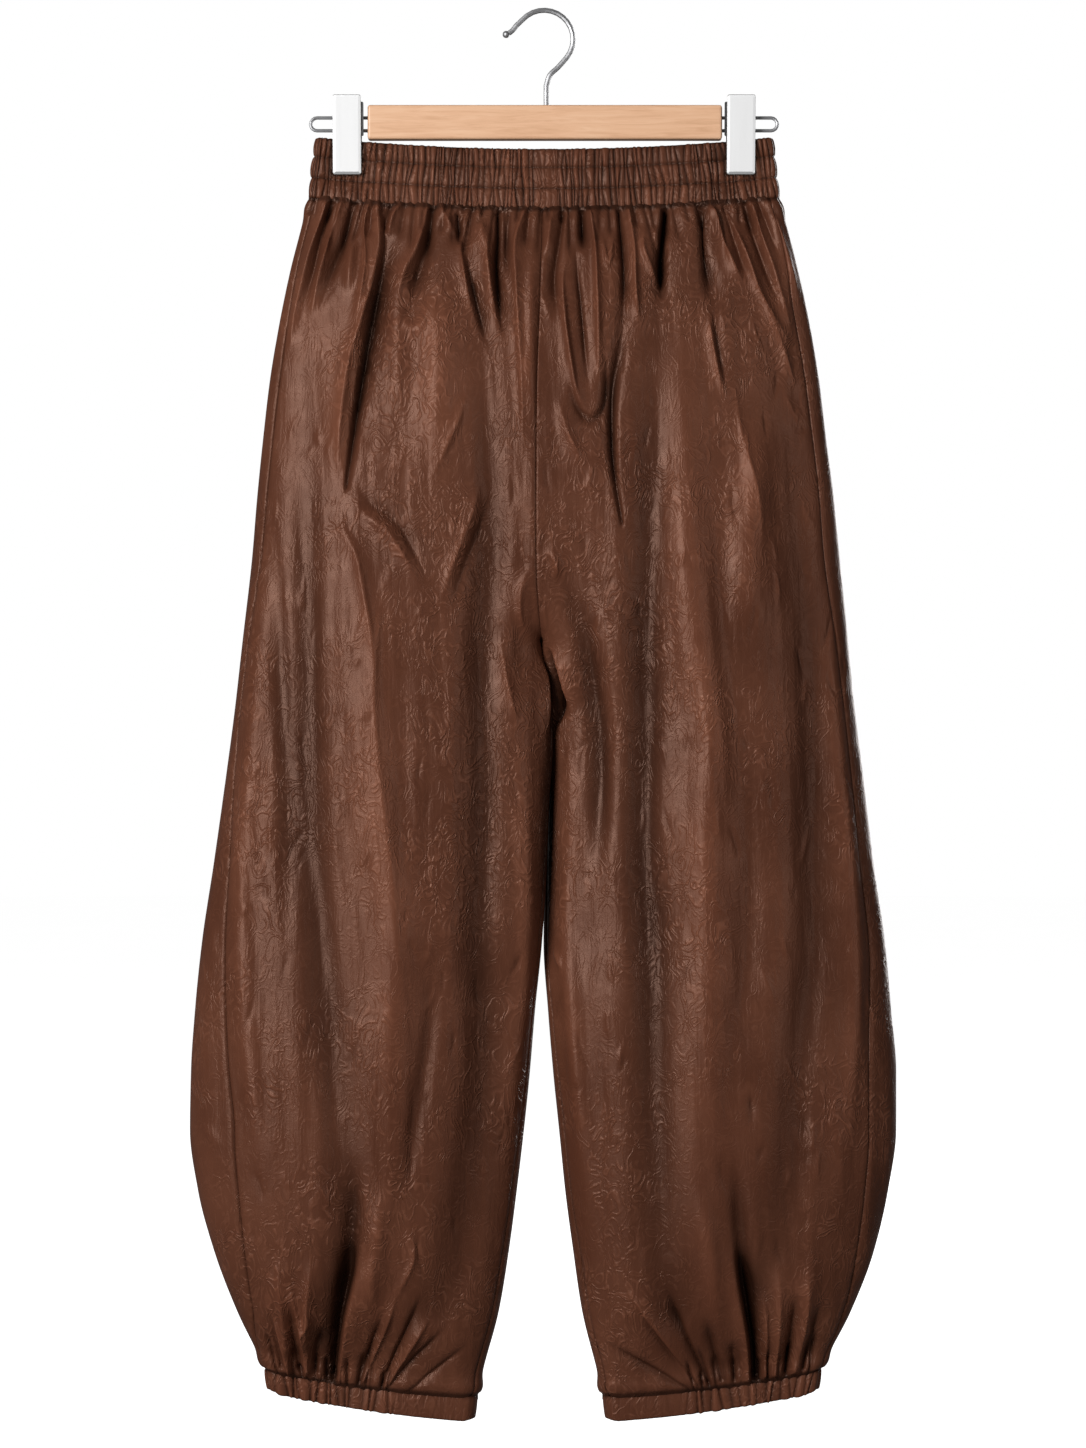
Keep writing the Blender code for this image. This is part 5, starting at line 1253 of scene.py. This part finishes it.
def clip_plate(node, materials):
    """A clip's plate with a slope all round its face, in place of its CAD node."""
    face = -1 if "front" in node else 1
    x = CLIP_X if node.endswith("left") else -CLIP_X
    length = (CLIP_TOP_Z["front" if face < 0 else "back"] - CLIP_TIP_Z) / math.cos(CLIP_LEAN)
    rings = []
    for inset, out in np.array(CLIP_RINGS) * MM:
        flat = rounded_ring(CLIP_HALF_WIDTH - inset, inset, length - inset, CLIP_CORNER - inset / 2)
        rings.append(leaning(face, x, flat, out))
    return capped(node + "_plate", rings, materials)


def clip_flange(side, material):
    """The dark jaw that shows behind the inner edge of a front plate."""
    half, top, low = FLANGE
    x = CLIP_X if side == "left" else -CLIP_X
    flat = rounded_ring(half, low - CLIP_TIP_Z, top - CLIP_TIP_Z, FLANGE_CORNER)
    flat[:, 0] *= np.where(flat[:, 0] * x < 0, 1, FLANGE_OUTER_SHARE)
    rings = [leaning(-1, x, flat, out) for out in (FLANGE_BACK, FLANGE_FACE)]
    return capped("clip_flange_" + side, rings, [material])


# ---------------------------------------------------------------- camera, light and stage
CAMERA_AWAY = 3.0
FRAME_CENTRE = (-0.8 * MM, -554.7 * MM)
FRAME_HIGH = 1129.4 * MM  # how much of the plane Y = 0 the picture's long side shows
SENSOR = 36.0
FLOOR_Z = -1.22


def add_camera():
    data = bpy.data.cameras.new("camera")
    data.sensor_width = SENSOR
    data.lens = SENSOR * CAMERA_AWAY / FRAME_HIGH
    camera = placed("camera", data, (FRAME_CENTRE[0], -CAMERA_AWAY, FRAME_CENTRE[1]))
    camera.rotation_euler = (math.pi / 2, 0, 0)
    bpy.context.scene.camera = camera


LIT_POINT = (0, 0, -0.5)
LIGHTS = (  # name, place, width and height, power
    ("key", (-1.75, -2.6, 0.2), (1.2, 2.2), 96),
    ("fill", (2.2, -2.6, -0.2), (1.0, 1.6), 11),
    ("behind", (1.6, 2.6, 0.2), (1.5, 2.2), 46),
)
SEEN_WORLD, LIGHTING_WORLD = 1.0, 0.10  # the strength of the world as a backdrop and as a light


def add_lights():
    for name, place, size, power in LIGHTS:
        data = bpy.data.lights.new(name, "AREA")
        data.shape = "RECTANGLE"
        data.size, data.size_y = size
        data.energy = power
        x, y, z = np.subtract(LIT_POINT, place)
        pitch = math.pi / 2 + math.atan2(z, math.hypot(x, y))
        placed(name, data, place).rotation_euler = (pitch, 0, math.atan2(-x, y))


def add_world():
    """A white backdrop that lights the scene far less than it shows."""
    world = bpy.data.worlds.new("studio")
    world.use_nodes = True
    tree = world.node_tree
    mix = tree.nodes.new("ShaderNodeMixShader")
    tree.links.new(tree.nodes.new("ShaderNodeLightPath").outputs["Is Camera Ray"], mix.inputs[0])
    for socket, strength in ((1, LIGHTING_WORLD), (2, SEEN_WORLD)):
        white = tree.nodes.new("ShaderNodeBackground")
        white.inputs["Color"].default_value = (1, 1, 1, 1)
        white.inputs["Strength"].default_value = strength
        tree.links.new(white.outputs[0], mix.inputs[socket])
    tree.links.new(mix.outputs[0], tree.nodes["World Output"].inputs[0])
    bpy.context.scene.world = world


def add_floor():
    bm = bmesh.new()
    bmesh.ops.create_circle(bm, cap_ends=True, segments=64, radius=12)
    mesh = bpy.data.meshes.new("floor")
    bm.to_mesh(mesh)
    bm.free()
    floor = placed("floor", mesh, (0, 0, FLOOR_Z))
    n = Nodes("floor")
    tone = n.spread(n.noise(n.mapped((1, 1, 1)), 3, 2), 0.3, 0.7, 0.88, 0.92)
    n.set(Emission_Color=(1, 1, 1, 1), Emission_Strength=0.9)
    mesh.materials.append(n.set(Base_Color=tone, Roughness=0.9))
    floor.visible_diffuse = False
    floor.visible_glossy = False


def dress(obj, node):
    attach(obj, "root")
    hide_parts(node)


def dress_legs(leather):
    seam = FRONT_COLUMNS
    for side, cuff_seed in (("right", 71), ("left", 72)):
        surface = leg_surface(side)
        for face, columns in (("front", slice(0, seam + 1)), ("back", slice(seam, None))):
            panel = turn_in(*(part[:, columns] for part in surface))
            obj = sheet_mesh(f"{face}_leg_{side}_cloth", *tuck(*panel), leather)
            face_outwards(obj)
            dress(obj, f"{face}_leg_{side}")
        ring = cuff(side, cuff_seed, leather)
        dress(ring, "cuff_" + side)


def dress_band(leather):
    for face, pleats, seed in (("front", FRONT_PLEATS, 51), ("back", BACK_PLEATS, 52)):
        obj = band_half(face, pleats, seed, leather)
        dress(obj, "waistband_" + face)


def dress_hanger(nodes):
    """New plates and flanges for the clips, and finishes for the CAD nodes that stay in sight."""
    # the clip's white finish, a painted reflection, and two copies of it with painted shade for its
    # edges
    plate = [metal(name) for name in ("satin clip", "clip edge in shade", "clip edge below in painted shade")]
    chrome, spring = metal("chromed wire"), metal("spring steel")
    for side in ("right", "left"):
        for face in ("front", "back"):
            node = f"clip_{face}_{side}"
            dress(clip_plate(node, plate), node)
        flange = clip_flange(side, spring)
        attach(flange, "root")
    finishes = {"hanger_bar": maple(), "clip_saddle": spring, "rail": chrome, "hanger_hook": chrome}
    for name, obj in nodes.items():
        for start, finish in finishes.items():
            if name.startswith(start):
                obj.data.materials.clear()
                obj.data.materials.append(finish)


def main():
    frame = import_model()
    bpy.context.scene.view_settings.view_transform = "Standard"
    add_camera()
    add_lights()
    add_world()
    add_floor()
    leather = faux_leather()
    dress_legs(leather)
    dress_band(leather)
    dress_hanger(frame["nodes"])


main()
